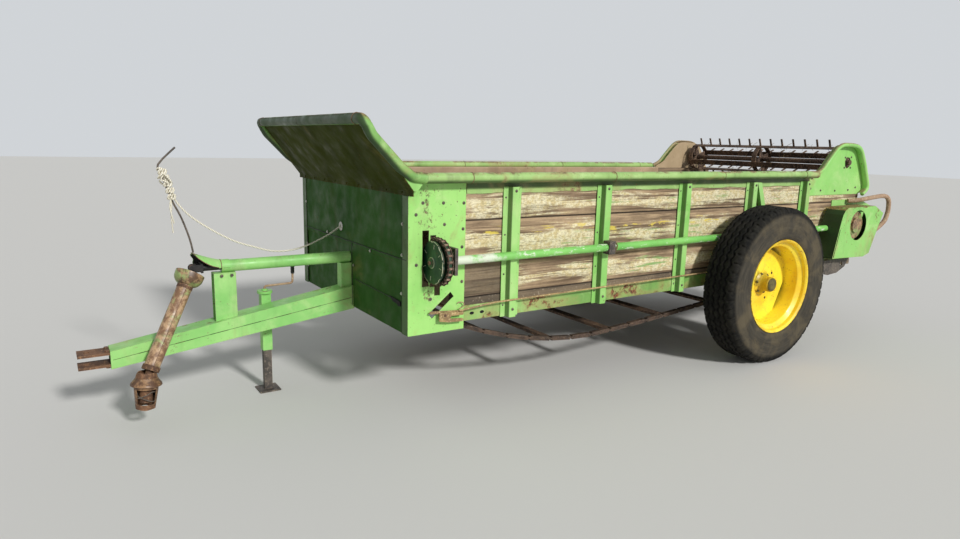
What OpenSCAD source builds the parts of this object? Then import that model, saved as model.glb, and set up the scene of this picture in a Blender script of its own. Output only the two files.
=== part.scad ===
// Two-wheeled manure spreader with a wooden load box, floor chains, two beaters and a rear
// distributor. +X points to the hitch, +Y to the side of the drive, +Z up, the ground is z = 0.
// Lengths are in millimetres. The origin is under the middle of the length and of the width.

/* [Overall] */
// Reach of the tongue, from the front sheet to the hitch tip
tongue_reach = 1310; // [1200:10:1500]
// Reach of the rear guards past the side boards' rear ends
guard_past = 380; // [360:10:540]
// Width across the side sheets
box_w = 1440; // [1360:10:1540]
// Height of the underside of the sills above the ground
sill_z = 483; // [470:1:500]

/* [Load box] */
// Length of the side boards' rear ends behind the front sheet
box_len = 3860; // [3450:10:4350]
// Thickness of a side board
board_t = 38; // [25:1:45]
// Height of a full side board
board_h = 190; // [180:1:200]
// Height of the ripped bottom board
low_board_h = 112; // [90:1:130]
// Height of a sill's web
sill_h = 77; // [60:1:90]
// Width of a sill's bottom flange
sill_flange = 80; // [60:1:100]
// Thickness of the box's sheet and sill steel
sheet_t = 4; // [3:0.5:5]
// Height of the cross members under the floor
cross_h = 36; // [30:1:40]
// Thickness of the floor boards
floor_t = 32; // [25:1:36]
// Length of the steel side panel behind the front sheet
front_side_l = 305; // [290:5:400]
// Distance of the inner front guard behind the front sheet
guard_back = 241; // [230:1:250]
// Depth of the front sheet below the sills
front_drop = 38; // [20:1:50]
// Width of the corner flange on the front sheet
corner_w = 60; // [40:1:80]
// Height of the seam between the front sheet and the flare above the sills
flare_seam_h = 645; // [630:1:660]
// Outer diameter of the top rails
rail_d = 50; // [40:1:55]
// Distance of the rails' centre outside the side sheets
rail_out = 50; // [45:1:60]
// Height of the rails' centre above the side boards
rail_rise = 16; // [10:1:22]

/* [Posts] */
// Width of a post's crown
post_w = 45; // [38:1:55]
// Width of each post flange
post_flange = 32; // [20:1:40]
// Depth of a post from the side sheet
post_depth = 36; // [34:1:37]
// Length of a post below the sills' underside
post_drop = 6; // [0:1:10]

/* [Flare and ears] */
// Forward reach of the flare's top tube
flare_reach = 240; // [220:5:280]
// Rise of the flare's top tube above its seam
flare_rise = 308; // [292:2:320]
// Diameter of the flare's top and side tubes
flare_tube_d = 50; // [44:1:54]
// Diameter of the ears' rolled edge
lip_d = 28; // [24:1:36]
// Distance of the ears' rolled edge outside the side sheets
lip_out = 35; // [30:1:45]
// Distance of the upper beater in front of the side boards' rear ends
upper_ahead = 207; // [200:1:225]
// Height of the upper beater above the sills
upper_h = 785; // [775:1:800]

/* [Tongue] */
// Width of the tongue beam
tongue_w = 110; // [90:1:130]
// Height of the tongue beam at the front sheet
tongue_rear_h = 127; // [110:1:140]
// Height of the tongue beam at its front end
tongue_front_h = 85; // [75:1:100]
// Height of the middle of the tongue's front end above the ground
hitch_z = 325; // [300:5:360]
// Wall of the tongue beam
tongue_wall = 6; // [4:0.5:8]
// Length of the hitch straps in front of the beam
strap_reach = 130; // [110:1:150]
// Width of the hitch straps
strap_w = 96; // [80:1:97]
// Thickness of the hitch straps
strap_t = 12; // [8:1:14]
// Diameter of the hitch pin hole
pin_d = 27; // [20:1:32]

/* [Power shaft] */
// Outer diameter of the guard tube on the tongue
guard_d = 60; // [50:1:70]
// Height of the guard tube's axis above the sills
guard_h = 232; // [225:1:240]
// Reach of the guard tube in front of the front sheet
guard_reach = 670; // [640:5:700]
// Reach of the joint's centre in front of the front sheet
joint_reach = 800; // [780:5:830]
// Outer diameter of the hanging shaft's shield
shield_d = 70; // [60:1:80]
// Length of the hanging shaft from its upper to its lower joint
shaft_len = 555; // [540:1:565]
// Diameter of the shield's bells
bell_d = 135; // [126:1:145]
// Diameter of the drum below the lower bell
drum_d = 107; // [100:1:112]
// Reach of the drum below the lower joint
drum_l = 140; // [130:1:150]
// Diameter of the bore for the tractor's shaft
stub_d = 35; // [30:0.5:38]

/* [Jack] */
// Reach of the jack in front of the front sheet
jack_reach = 435; // [380:5:500]
// Width of the square outer jack tube
jack_w = 50; // [45:1:60]
// Width of the square inner jack tube
jack_leg_w = 40; // [34:1:42]
// Length of the outer jack tube
jack_sleeve_l = 310; // [305:5:330]

/* [Wheels] */
// Outer diameter of a tyre
tyre_d = 1000; // [980:5:1015]
// Width of a tyre
tyre_w = 228; // [224:2:232]
// Gap between a tyre and the side sheets
tyre_gap = 86; // [86:1:100]
// Diameter of the rim's flange
rim_d = 604; // [590:2:610]
// Width across the rim's flanges
rim_w = 208; // [198:2:210]
// Distance of the axle in front of the side boards' rear ends
axle_ahead = 1385; // [1360:5:1420]
// Width and height of the axle beam
axle_w = 76; // [60:1:90]
// Diameter of the spindles
spindle_d = 50; // [40:1:60]

/* [Floor chains] */
// Distance of the front idler behind the front sheet
idler_back = 340; // [330:1:350]
// Distance of the drive sprockets in front of the side boards' rear ends
drive_ahead = 440; // [430:1:450]
// Distance of each chain from the middle of the box
chain_y = 600; // [560:5:610]
// Height of a chain link
link_h = 22; // [18:1:26]
// Width of a chain link
link_w = 30; // [20:1:40]
// Depth of the return run's sag
chain_sag = 184; // [120:2:200]
// Number of slats on the upper run
slat_n = 7; // [5:1:9]
// Width of a slat
slat_w = 50; // [35:1:60]

/* [Beaters] */
// Distance of the main beater in front of the side boards' rear ends
main_ahead = 257; // [255:1:275]
// Height of the main beater above the sills
main_h = 337; // [335:1:350]
// Radius of the main beater's teeth tips
main_r = 222; // [200:1:226]
// Radius of the upper beater's teeth tips
upper_r = 172; // [150:1:175]
// Distance of the distributor past the side boards' rear ends
dist_past = 160; // [150:1:170]
// Height of the distributor above the sills
dist_h = 385; // [370:1:395]
// Radius of the distributor's paddles
dist_r = 185; // [150:1:190]
// Diameter of the beater shafts
shaft_d = 38; // [30:1:45]
// Length of a beater tooth
tooth_l = 58; // [45:1:62]
// Spacing of the teeth on a bar
tooth_gap = 98; // [80:1:120]

/* [Side drive] */
// Outer diameter of the side shaft's guard pipe
pipe_d = 42; // [36:1:43]
// Height of the side shaft above the sills
pipe_h = 317; // [312:1:322]
// Pitch radius of the side sprocket
sprocket_r = 104; // [95:1:110]
// Distance of the side sprocket behind the front sheet
sprocket_back = 128; // [126:1:130]
// Distance of the chain case's outer face outside the side sheets
case_out = 160; // [140:1:180]
// Thickness of the chain case's sheet
case_t = 3; // [2:0.5:4]

/* [Hidden] */

// Clearance of pieces that pass each other, running fit and seat gap
pass = 2;
fit = 0.05;
seat = 0.3;

// Places behind the front sheet that follow the side boards' rear ends
rear_reach = box_len + guard_past;
upper_back = box_len - upper_ahead;
axle_back = box_len - axle_ahead;
drive_back = box_len - drive_ahead;
main_back = box_len - main_ahead;
dist_back = box_len + dist_past;

// Places along X are given as distances behind the front sheet
front_x = (rear_reach - tongue_reach) / 2;
function bx(d) = front_x - d;

// Radius of a floor chain's middle on its wheels
chain_r = 66;

side_y = box_w / 2;
board_y = side_y - sheet_t;
inner_y = board_y - board_t;
floor_z = sill_z + sheet_t + cross_h;
floor_top = floor_z + floor_t;
board_top = sill_z + sheet_t + low_board_h + 3 * board_h;
floor_start = idler_back + chain_r;
floor_end = drive_back - chain_r;
sheet_lap = 3;
lower_face = 2 * sheet_lap;
seam_z = sill_z + flare_seam_h;
rail_y = side_y + rail_out;
rail_z = board_top + rail_rise;
ear_front = box_len - 683;
beam_d = 80;
front_low = sill_z - front_drop;
// Posts and cross members, as shares of the box's length
post_places = [for (k = [0.149, 0.3109, 0.4819, 0.6503, 0.8083]) round(k * box_len)];
cross_places = [for (k = [0.2228, 0.4016, 0.5661, 0.7254, 0.8549]) round(k * box_len)];
joint_fn = 24;

apron_shaft_z = floor_top + link_h / 2 - chain_r;
apron_shaft_d = 25;
axle_z = tyre_d / 2;
wheel_y = side_y + tyre_gap + tyre_w / 2;
pipe_y = side_y + post_depth + pipe_d / 2 + 1;
pipe_z = sill_z + pipe_h;

// Tongue heights at the front sheet, and a function for its top and bottom along its length
beam_reach = tongue_reach - strap_reach;
tongue_top = sill_z + 76;
function tongue_top_at(r) =
    tongue_top + (hitch_z + tongue_front_h / 2 - tongue_top) * r / beam_reach;
function tongue_low_at(r) =
    tongue_top - tongue_rear_h
    + (hitch_z - tongue_front_h / 2 - tongue_top + tongue_rear_h) * r / beam_reach;

// Joint of the power shaft, the unit direction in which the shaft hangs from it, its lower joint
// and the unit direction of the drum below that
joint_p = [bx(-joint_reach), 0, sill_z + guard_h];
hang = [0.452, 0.291, -0.843] / norm([0.452, 0.291, -0.843]);
lower_p = joint_p + shaft_len * hang;
drop = [0.094, 0.043, -0.995] / norm([0.094, 0.043, -0.995]);

// Rope points as distances before the front sheet, sideways, and heights above the sills
rope_d = 9;
rope_points = [
    [6, -98, 388], [40, -94, 366], [100, -88, 335], [205, -76, 295], [303, -65, 277],
    [400, -54, 282], [495, -44, 312], [590, -33, 348], [693, -22, 408], [790, -12, 480],
    [848, -4, 546], [876, 0, 606]
];

// Distance of the sills' and the bottom boards' rear ends in front of the other boards' rear ends
low_short = 170;

// A bar of diameter d from p to q
module rod(p, q, d) {
    v = q - p;
    translate(p)
        rotate([0, atan2(norm([v.x, v.y]), v.z), atan2(v.y, v.x)])
            cylinder(h = norm(v), d = d, $fn = 32);
}

// A bent bar through the points, with ball corners
module bent_rod(points, d) {
    for (i = [0 : len(points) - 2]) rod(points[i], points[i + 1], d);
    for (i = [1 : len(points) - 2]) translate(points[i]) sphere(d = d * 1.01, $fn = 32);
}

// A sheet whose outline is given as [distance behind the front sheet, height], between y0 and y1
module side_plate(outline, y0, y1) {
    translate([front_x, y1, 0])
        mirror([1, 0, 0])
            rotate([90, 0, 0])
                linear_extrude(y1 - y0) polygon(outline);
}

// A round bar along Y at a distance behind the front sheet and a height
module cross_bar(back, z, y0, y1, d) {
    translate([bx(back), y0, z]) rotate([-90, 0, 0]) cylinder(h = y1 - y0, d = d, $fn = 48);
}

// Normal of stretch i of a line of points, and the mitre at its point i
function stretch_normal(points, i) =
    let (k = min(max(i, 0), len(points) - 2), v = points[k + 1] - points[k])
    [-v.y, v.x] / norm(v);
function mitre(points, i) =
    let (a = stretch_normal(points, i - 1), b = stretch_normal(points, i)) (a + b) / (1 + a * b);

// A folded strip of sheet that follows [distance, height] points between y0 and y1
module folded_strip(points, y0, y1, t) {
    last = len(points) - 1;
    side_plate(
        concat(
            [for (i = [0 : last]) points[i] + t / 2 * mitre(points, i)],
            [for (i = [last : -1 : 0]) points[i] - t / 2 * mitre(points, i)]
        ),
        y0, y1
    );
}

// Turns its children's Z axis to the direction v
module aimed(v) {
    rotate([0, atan2(norm([v.x, v.y]), v.z), atan2(v.y, v.x)]) children();
}

module mirrored_y() {
    children();
    mirror([0, 1, 0]) children();
}

// Tongue and hitch

module tongue() {
    back = 10;
    outer = [
        [back, tongue_low_at(-back)], [-beam_reach, tongue_low_at(beam_reach)],
        [-beam_reach, tongue_top_at(beam_reach)], [back, tongue_top_at(-back)]
    ];
    hollow = [
        [back + 1, tongue_low_at(-back) + tongue_wall],
        [-beam_reach - 1, tongue_low_at(beam_reach) + tongue_wall],
        [-beam_reach - 1, tongue_top_at(beam_reach) - tongue_wall],
        [back + 1, tongue_top_at(-back) - tongue_wall]
    ];
    color("limegreen")
        difference() {
            side_plate(outer, -tongue_w / 2, tongue_w / 2);
            side_plate(hollow, -tongue_w / 2 + tongue_wall, tongue_w / 2 - tongue_wall);
        }
}

strap_inset = 30;
strap_low_z = tongue_low_at(beam_reach - strap_inset) + tongue_wall + seat;
strap_high_z = tongue_top_at(beam_reach) - tongue_wall - strap_t - seat;
hitch_pin_r = tongue_reach - 38;

module hitch_straps() {
    color("saddlebrown")
        for (z = [strap_low_z, strap_high_z])
            difference() {
                translate([bx(-beam_reach + strap_inset), -strap_w / 2, z])
                    cube([strap_reach + strap_inset, strap_w, strap_t]);
                translate([bx(-hitch_pin_r), 0, z - 1])
                    cylinder(h = strap_t + 2, d = pin_d, $fn = 48);
            }
}

module tube_supports() {
    post_reach = 605;
    post_l = 105;
    wall = 5;
    half = 30;
    top = joint_p.z - guard_d / 2;
    color("limegreen") {
        // Formed post between the tongue and the guard tube
        for (s = [-1, 1])
            side_plate(
                [[-post_reach, tongue_top_at(post_reach)],
                 [-post_reach - post_l, tongue_top_at(post_reach + post_l)],
                 [-post_reach - post_l, top], [-post_reach, top]],
                s > 0 ? half - wall : -half, s > 0 ? half : wall - half
            );
        side_plate(
            [[-post_reach, tongue_top_at(post_reach)],
             [-post_reach - wall, tongue_top_at(post_reach + wall)],
             [-post_reach - wall, top], [-post_reach, top]],
            wall - half, half - wall
        );
        side_plate(
            [[-post_reach - wall, top - wall], [-post_reach - post_l, top - wall],
             [-post_reach - post_l, top], [-post_reach - wall, top]],
            wall - half, half - wall
        );
        // Bracket between the tongue's rear end and the guard tube
        side_plate(
            [[lower_face - seat, tongue_top_at(-lower_face)], [-52, tongue_top_at(52)],
             [-52, top], [lower_face - seat, top]],
            -half, half
        );
    }
}

module guard_tube() {
    color("limegreen")
        difference() {
            translate([bx(lower_face - seat), 0, joint_p.z])
                rotate([0, 90, 0])
                    cylinder(h = guard_reach + lower_face - seat, d = guard_d, $fn = 48);
            translate([bx(lower_face) - 1, 0, joint_p.z])
                rotate([0, 90, 0])
                    cylinder(h = guard_reach + lower_face + 2, d = guard_d - 8, $fn = 48);
        }
}

hood_flare = 44;
hood_wall = 3;

module guard_hood() {
    length = joint_reach - guard_reach;
    flare = hood_flare;
    wall = hood_wall;
    r = guard_d / 2;
    color("limegreen")
        translate([bx(-guard_reach + 40), 0, joint_p.z])
            rotate([0, 90, 0]) rotate([0, 0, 90])
                rotate_extrude(angle = 180, $fn = 64)
                    polygon([
                        [r + seat, 0], [r + seat, 40], [r + flare, length + 40],
                        [r + flare + wall, length + 40], [r + seat + wall, 38], [r + seat + wall, 0]
                    ]);
}

// Yoke ears of the joint, from their inner to their outer faces, and the cross pin
yoke_in = 15;
yoke_out = 24;
yoke_r = 18;
cross_d = 14;

module shaft_joint() {
    inner = guard_d - 8;
    color("dimgray") {
        // Shaft end inside the guard tube
        translate([bx(-guard_reach + 60), 0, joint_p.z])
            rotate([0, 90, 0]) cylinder(h = joint_reach - guard_reach + 20, d = 36, $fn = 48);
        translate([bx(-guard_reach + 60), 0, joint_p.z])
            rotate([0, 90, 0])
                difference() {
                    cylinder(h = 30, d = inner - fit * 2, $fn = 48);
                    translate([0, 0, -1]) cylinder(h = 32, d = 35, $fn = 48);
                }
        // Yoke with two ears and its cross pin along Y
        translate([bx(-joint_reach + 45), -yoke_out, joint_p.z - 24]) cube([10, 2 * yoke_out, 48]);
        for (s = [-1, 1]) {
            y = s > 0 ? yoke_in : -yoke_out;
            translate([bx(-joint_reach + 45), y, joint_p.z - yoke_r])
                cube([45, yoke_out - yoke_in, 2 * yoke_r]);
            cross_bar(-joint_reach, joint_p.z, y, y + yoke_out - yoke_in, 2 * yoke_r);
        }
        cross_bar(-joint_reach, joint_p.z, -yoke_out - 3, yoke_out + 3, cross_d);
    }
}

// Places its children with their Z axis along the hanging shaft, its zero at the upper joint
module on_shaft() {
    translate(joint_p) aimed(hang) children();
}

// The same for the drum, its zero at the lower joint
module on_drum() {
    translate(lower_p) aimed(drop) children();
}

shield_start = 62;
shield_stop = shaft_len - 40;
collar_l = 24;
cone_top = -14;
cone_low = 22;

module shield() {
    color("olivedrab")
        on_shaft()
            translate([0, 0, shield_start])
                difference() {
                    cylinder(h = shield_stop - shield_start, d = shield_d, $fn = 48);
                    translate([0, 0, -1])
                        cylinder(h = shield_stop, d = shield_d - 8, $fn = 48);
                }
}

// A bell that opens along +Z from the shield's end
module bell(length, d) {
    r = shield_d / 2 + seat;
    wall = 3;
    rotate_extrude($fn = 48)
        polygon([
            [r, 0], [r + wall, 0], [d * 0.36, length * 0.3], [d / 2, length * 0.62],
            [d / 2, length], [d / 2 - wall, length], [d / 2 - wall, length * 0.64],
            [d * 0.36 - wall, length * 0.34], [r, length * 0.14]
        ]);
}

// Ball between the shield's lower end and the lower bell, with the bell's cone and the drum
module lower_bell() {
    wall = 3;
    ball_d = 92;
    knee_d = 64;
    r = drum_d / 2;
    difference() {
        union() {
            translate([0, 0, -8]) sphere(d = ball_d, $fn = 48);
            rotate_extrude($fn = 48)
                polygon([
                    [ball_d / 2 - 6, cone_top], [ball_d / 2 - 1, cone_top], [bell_d / 2, cone_low],
                    [bell_d / 2, cone_low + wall], [r, cone_low + wall], [r, drum_l],
                    [r - wall, drum_l], [r - wall, cone_low], [bell_d / 2 - 2 * wall, cone_low]
                ]);
        }
        translate([0, 0, -8]) sphere(d = knee_d, $fn = 48);
        translate([0, 0, -8]) cylinder(h = 60, d = knee_d, $fn = 48);
    }
}

module shaft_bells() {
    color("olivedrab") {
        on_shaft() translate([0, 0, 88]) mirror([0, 0, 1]) bell(62, bell_d);
        difference() {
            on_drum() lower_bell();
            on_shaft() {
                cylinder(h = shield_stop + seat, d = shield_d + 2 * seat, $fn = 48);
                cylinder(h = shaft_len, d = 38, $fn = 48);
            }
        }
        on_shaft()
            translate([0, 0, shield_stop - collar_l])
                difference() {
                    cylinder(h = collar_l, d = shield_d + 2 * seat + 8, $fn = 48);
                    translate([0, 0, -1])
                        cylinder(h = collar_l + 2, d = shield_d + 2 * seat, $fn = 48);
                }
        // Plate that holds the drum on the lower yoke's hub
        on_drum()
            translate([0, 0, 40])
                difference() {
                    cylinder(h = 4, d = drum_d - 4, $fn = 48);
                    translate([0, 0, -1]) cylinder(h = 6, d = hub_d + 2 * fit, $fn = 48);
                }
    }
}

hub_d = 56;
hub_l = 64;
hub_stop = 104;

module shaft_yoke() {
    ring_d = shield_d - 8 - 2 * fit;
    ring_l = 14;
    color("saddlebrown")
        difference() {
            cross_bar(-joint_reach, joint_p.z, 1 - yoke_in, yoke_in - 1, 30);
            cross_bar(-joint_reach, joint_p.z, -yoke_in, yoke_in, cross_d + 2 * fit);
        }
    color("saddlebrown")
        on_shaft() {
            // Neck below the joint's cross, and the inner shaft down to the lower joint
            translate([0, 0, cross_d]) cylinder(h = 72 - cross_d, d = 16, $fn = 32);
            translate([0, 0, 70]) cylinder(h = shaft_len - 70, d = 30, $fn = 48);
            for (run = [70, shield_stop - ring_l - 8])
                translate([0, 0, run])
                    difference() {
                        cylinder(h = ring_l, d = ring_d, $fn = 48);
                        translate([0, 0, -1]) cylinder(h = ring_l + 2, d = 20, $fn = 48);
                    }
        }
    // Lower yoke hub with the bore for the tractor's shaft
    color("saddlebrown")
        on_drum()
            difference() {
                union() {
                    sphere(d = 50, $fn = 48);
                    cylinder(h = hub_stop, d = hub_d, $fn = 48);
                }
                translate([0, 0, hub_stop - hub_l]) cylinder(h = hub_l + 1, d = stub_d, $fn = 48);
            }
}

// Jack

jack_y = -tongue_w / 2 - jack_w / 2 - 10;
jack_low = tongue_low_at(jack_reach) - 150;

module jack_sleeve() {
    cap_d = 78;
    wall = (jack_w - jack_leg_w) / 2 - seat;
    top = jack_low + jack_sleeve_l;
    arm_z = tongue_low_at(jack_reach) + 25;
    color("darkgreen") {
        difference() {
            translate([bx(-jack_reach) - jack_w / 2, jack_y - jack_w / 2, jack_low])
                cube([jack_w, jack_w, jack_sleeve_l]);
            translate([bx(-jack_reach) - jack_w / 2 + wall, jack_y - jack_w / 2 + wall, jack_low - 1])
                cube([jack_w - 2 * wall, jack_w - 2 * wall, jack_sleeve_l - 14]);
        }
        translate([bx(-jack_reach), jack_y, top]) cylinder(h = 14, d = cap_d, $fn = 48);
        // Mount plate between the sleeve and the tongue
        translate([bx(-jack_reach) - 40, jack_y + jack_w / 2, arm_z])
            cube([80, -tongue_w / 2 - jack_y - jack_w / 2, 70]);
    }
}

module jack_leg() {
    foot = 110;
    color("darkslategray") {
        translate([bx(-jack_reach) - jack_leg_w / 2, jack_y - jack_leg_w / 2, 6])
            cube([jack_leg_w, jack_leg_w, jack_low + 80]);
        translate([bx(-jack_reach) - foot / 2, jack_y - foot / 2, 0]) cube([foot, foot, 8]);
    }
}

module jack_crank() {
    top = jack_low + jack_sleeve_l + 14;
    x = bx(-jack_reach);
    elbow = [x - 150, jack_y, top + 26];
    grip = elbow + [-2, 0, 52];
    color("indianred") bent_rod([[x, jack_y, top], [x, jack_y, top + 22], elbow, grip], 12);
    color("black") translate(grip) cylinder(h = 60, d = 22, $fn = 32);
}

// Front of the box

module front_sheet() {
    lap = sheet_lap;
    mid_z = sill_z + 320;
    split_y = 60;
    notch = tongue_w / 2 + pass;
    color("forestgreen")
        difference() {
            union() {
                translate([bx(sheet_t), -board_y + seat, mid_z - 20])
                    cube([sheet_t, 2 * (board_y - seat), seam_z - mid_z + 20]);
                translate([bx(sheet_t + lap), split_y, front_low])
                    cube([sheet_t, board_y - seat - split_y, mid_z - front_low]);
                translate([bx(sheet_t + 2 * lap), -board_y + seat, front_low])
                    cube([sheet_t, board_y - seat + split_y + 20, mid_z - front_low]);
            }
            translate([bx(beam_d), -notch, front_low - 1])
                cube([2 * beam_d, 2 * notch, tongue_top_at(0) + pass - front_low + 1]);
        }
}

module flare_sheet() {
    t = sheet_t;
    lap = -t / 2 - seat;
    top = [-flare_reach, seam_z + flare_rise];
    color("forestgreen") {
        folded_strip([[lap, seam_z - 24], [lap, seam_z], top], -rail_y + t / 2, rail_y - t / 2, t);
        // Side webs that close the flare down to the rails
        mirrored_y()
            side_plate(
                [[lap, seam_z], top, [-201, rail_z + 183], [-132, rail_z + 113], [-70, rail_z + 50],
                 [-10, rail_z + 8], [56, rail_z], [56, rail_z - 12], [20, seam_z]],
                rail_y - t, rail_y
            );
    }
}

flare_path = [
    [60, rail_z], [-10, rail_z + 8], [-70, rail_z + 50], [-132, rail_z + 113],
    [-201, rail_z + 183], [-flare_reach, seam_z + flare_rise]
];

module flare() {
    flare_sheet();
    flare_edge();
}

module flare_edge() {
    corner = [bx(-flare_reach), rail_y, seam_z + flare_rise];
    color("limegreen") {
        mirrored_y() {
            swept_cord([for (p = flare_path) [bx(p.x), rail_y, p.y]], flare_tube_d, 16);
            translate(corner) sphere(d = flare_tube_d * 1.01, $fn = 32);
        }
        rod([corner.x, -corner.y, corner.z], corner, flare_tube_d);
    }
}

// A steel side panel with a flange that wraps the front corner
module front_side_blank() {
    flange_t = 3;
    translate([bx(front_side_l), board_y, front_low])
        cube([front_side_l, sheet_t, board_top - front_low]);
    translate([bx(0) - 1, board_y, front_low]) cube([flange_t + 1, sheet_t, seam_z - front_low - 26]);
    translate([bx(0), side_y - corner_w, front_low]) cube([flange_t, corner_w, seam_z - front_low - 26]);
}

module front_side_left() {
    // Slots around the side drive: distances behind and heights over the sprocket's middle
    slots = [[-57, -23, -124, 142], [-15, 16, -128, 118], [9, 40, -172, -100]];
    lever_slot = [[125, sill_z + 34], [245, sill_z + 131], [227, sill_z + 155], [107, sill_z + 58]];
    color("limegreen")
        difference() {
            front_side_blank();
            for (q = slots)
                translate([bx(sprocket_back + q[1]), side_y - 2 * sheet_t, pipe_z + q[2]])
                    cube([q[1] - q[0], 3 * sheet_t, q[3] - q[2]]);
            side_plate(lever_slot, side_y - 2 * sheet_t, side_y + sheet_t);
        }
}

module front_side_right() {
    color("limegreen") mirror([0, 1, 0]) front_side_blank();
}

module inner_guard() {
    bend_z = floor_top + 345;
    color("rosybrown")
        folded_strip(
            [[guard_back, floor_top], [guard_back, bend_z], [sheet_t + 4, seam_z - 10]],
            -inner_y + seat, inner_y - seat, sheet_t
        );
}

module front_beam() {
    color("forestgreen")
        difference() {
            translate([bx(10 + beam_d), -board_y + seat, sill_z])
                cube([beam_d, 2 * (board_y - seat), sill_h]);
            translate([bx(10 + beam_d) - 1, -board_y, sill_z + 6])
                cube([beam_d - 5, 2 * board_y, sill_h - 12]);
        }
}

// Sides and floor

module side_boards() {
    heights = [low_board_h, board_h, board_h, board_h];
    groove = 3;
    difference() {
        union()
            for (i = [0 : len(heights) - 1]) {
                base = i == 0 ? 0 : low_board_h + (i - 1) * board_h;
                stop = i == 0 ? box_len - low_short : box_len;
                translate([bx(stop), inner_y, sill_z + sheet_t + base])
                    cube([stop - guard_back - sheet_t / 2 - seat, board_t, heights[i]]);
            }
        // Open joints between the boards, on both faces
        for (i = [1 : len(heights) - 1], y = [inner_y - 1, board_y - groove])
            translate([bx(box_len) - 1, y, sill_z + sheet_t + low_board_h + (i - 1) * board_h - 2])
                cube([box_len, groove + 1, 4]);
        for (back = [idler_back, drive_back])
            cross_bar(back, apron_shaft_z, inner_y - 1, side_y, apron_shaft_d + 2 * pass);
        cross_bar(main_back, sill_z + main_h, inner_y - 1, side_y, shaft_d + 6 * pass);
    }
}

module side_boards_left() { color("tan") side_boards(); }
module side_boards_right() { color("tan") mirror([0, 1, 0]) side_boards(); }

module floor_boards() {
    n = 9;
    w = 2 * (inner_y - pass) / n;
    color("peru")
        for (i = [0 : n - 1])
            translate([bx(floor_end), -inner_y + pass + i * w + 1, floor_z])
                cube([floor_end - floor_start, w - 2, floor_t]);
}

module cross_members() {
    wall = 5;
    color("forestgreen")
        for (back = cross_places)
            translate([bx(back), pass - inner_y, sill_z + sheet_t])
                difference() {
                    cube([60, 2 * (inner_y - pass), cross_h]);
                    translate([-1, -1, wall]) cube([61 - wall, 2 * inner_y, cross_h - 2 * wall]);
                }
}

module sill() {
    back = box_len - low_short;
    translate([bx(back), board_y, sill_z]) cube([back - front_side_l - seat, sheet_t, sill_h]);
    translate([bx(back), side_y - sill_flange, sill_z])
        cube([back - front_side_l - seat, sill_flange, sheet_t]);
    translate([bx(back), side_y - sill_flange, sill_z])
        cube([back - beam_d - 10 - seat, sill_flange - sheet_t - seat, sheet_t]);
}

module sill_left() { color("limegreen") sill(); }
module sill_right() { color("limegreen") mirror([0, 1, 0]) sill(); }

// One hat-section post, its middle at the given distance behind the front sheet
module post(back, top) {
    c = post_w / 2;
    t = sheet_t;
    f = post_flange;
    over_axle = abs(back - axle_back) < axle_w / 2 + c + f;
    low = over_axle ? sill_z : sill_z - post_drop;
    translate([bx(back), side_y, low])
        linear_extrude(top - low)
            polygon([
                [-c - f, 0], [-c - f, t], [-c, t], [-c, post_depth], [c, post_depth], [c, t],
                [c + f, t], [c + f, 0], [c - t, 0], [c - t, post_depth - t],
                [t - c, post_depth - t], [t - c, 0]
            ]);
}

module posts() {
    top = rail_z - rail_d / 2 - 22;
    for (back = post_places) post(back, top);
    // Brace that leans back from the head of the fourth post
    head = post_places[3] + post_w / 2 + seat;
    foot = head + 99;
    foot_z = sill_z + 400;
    side_plate(
        [[head, top], [head + post_w, top], [foot + post_w, foot_z], [foot, foot_z]],
        side_y + sheet_t, side_y + post_depth - 4
    );
}

module posts_left() { color("limegreen") posts(); }
module posts_right() { color("limegreen") mirror([0, 1, 0]) posts(); }

// Top rail: a tube with a flange over the boards and a flashing into the box
module rail() {
    start = 66;
    stop = ear_front - pass;
    flange_low = board_top - 64;
    cover = 3;
    translate([bx(ear_front + 4), rail_y, rail_z])
        rotate([0, 90, 0]) cylinder(h = ear_front + 4 - start, d = rail_d, $fn = 48);
    translate([bx(stop), inner_y - cover, board_top + seat])
        cube([stop - guard_back - 10, rail_y - inner_y + cover, cover]);
    translate([bx(guard_back + 10), board_y, board_top + seat])
        cube([guard_back + 10 - start, rail_y - board_y, cover]);
    translate([bx(stop), board_y, flange_low])
        cube([stop - front_side_l - pass, sheet_t, board_top - flange_low + 2]);
    translate([bx(stop), inner_y - cover, board_top - 58])
        cube([stop - guard_back - 10, cover - seat, 60]);
}

module rail_left() { color("limegreen") rail(); }
module rail_right() { color("limegreen") mirror([0, 1, 0]) rail(); }

// Ears: rear side sheets with a broad rolled edge

ear_path = [
    [ear_front + 14, rail_z], [ear_front + 93, rail_z + 33], [ear_front + 153, rail_z + 88],
    [ear_front + 233, rail_z + 162], [ear_front + 283, rail_z + 196], [ear_front + 343, rail_z + 210],
    [ear_front + 488, rail_z + 206], [ear_front + 560, rail_z + 183], [ear_front + 604, rail_z + 134],
    [box_len - 16, rail_z + 31], [box_len + 42, rail_z - 98], [box_len - 18, rail_z - 150]
];
ear_low = sill_z + 550;

module ear() {
    outline = concat([[ear_front, ear_low], [ear_front, rail_z]], ear_path, [[box_len - 18, ear_low]]);
    difference() {
        side_plate(outline, board_y, side_y);
        cross_bar(upper_back, sill_z + upper_h, 0, 2 * side_y, 80);
    }
    folded_strip(ear_path, board_y, side_y + lip_out, sheet_t);
    swept_cord([for (p = ear_path) [bx(p.x), side_y + lip_out, p.y]], lip_d, 16);
    // Bearing behind the hole
    difference() {
        cross_bar(upper_back, sill_z + upper_h, inner_y + 8, board_y, 120);
        cross_bar(upper_back, sill_z + upper_h, 0, 2 * side_y, shaft_d + 2 * fit);
    }
}

module ear_left() { color("limegreen") ear(); }
module ear_right() { color("limegreen") mirror([0, 1, 0]) ear(); }

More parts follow.
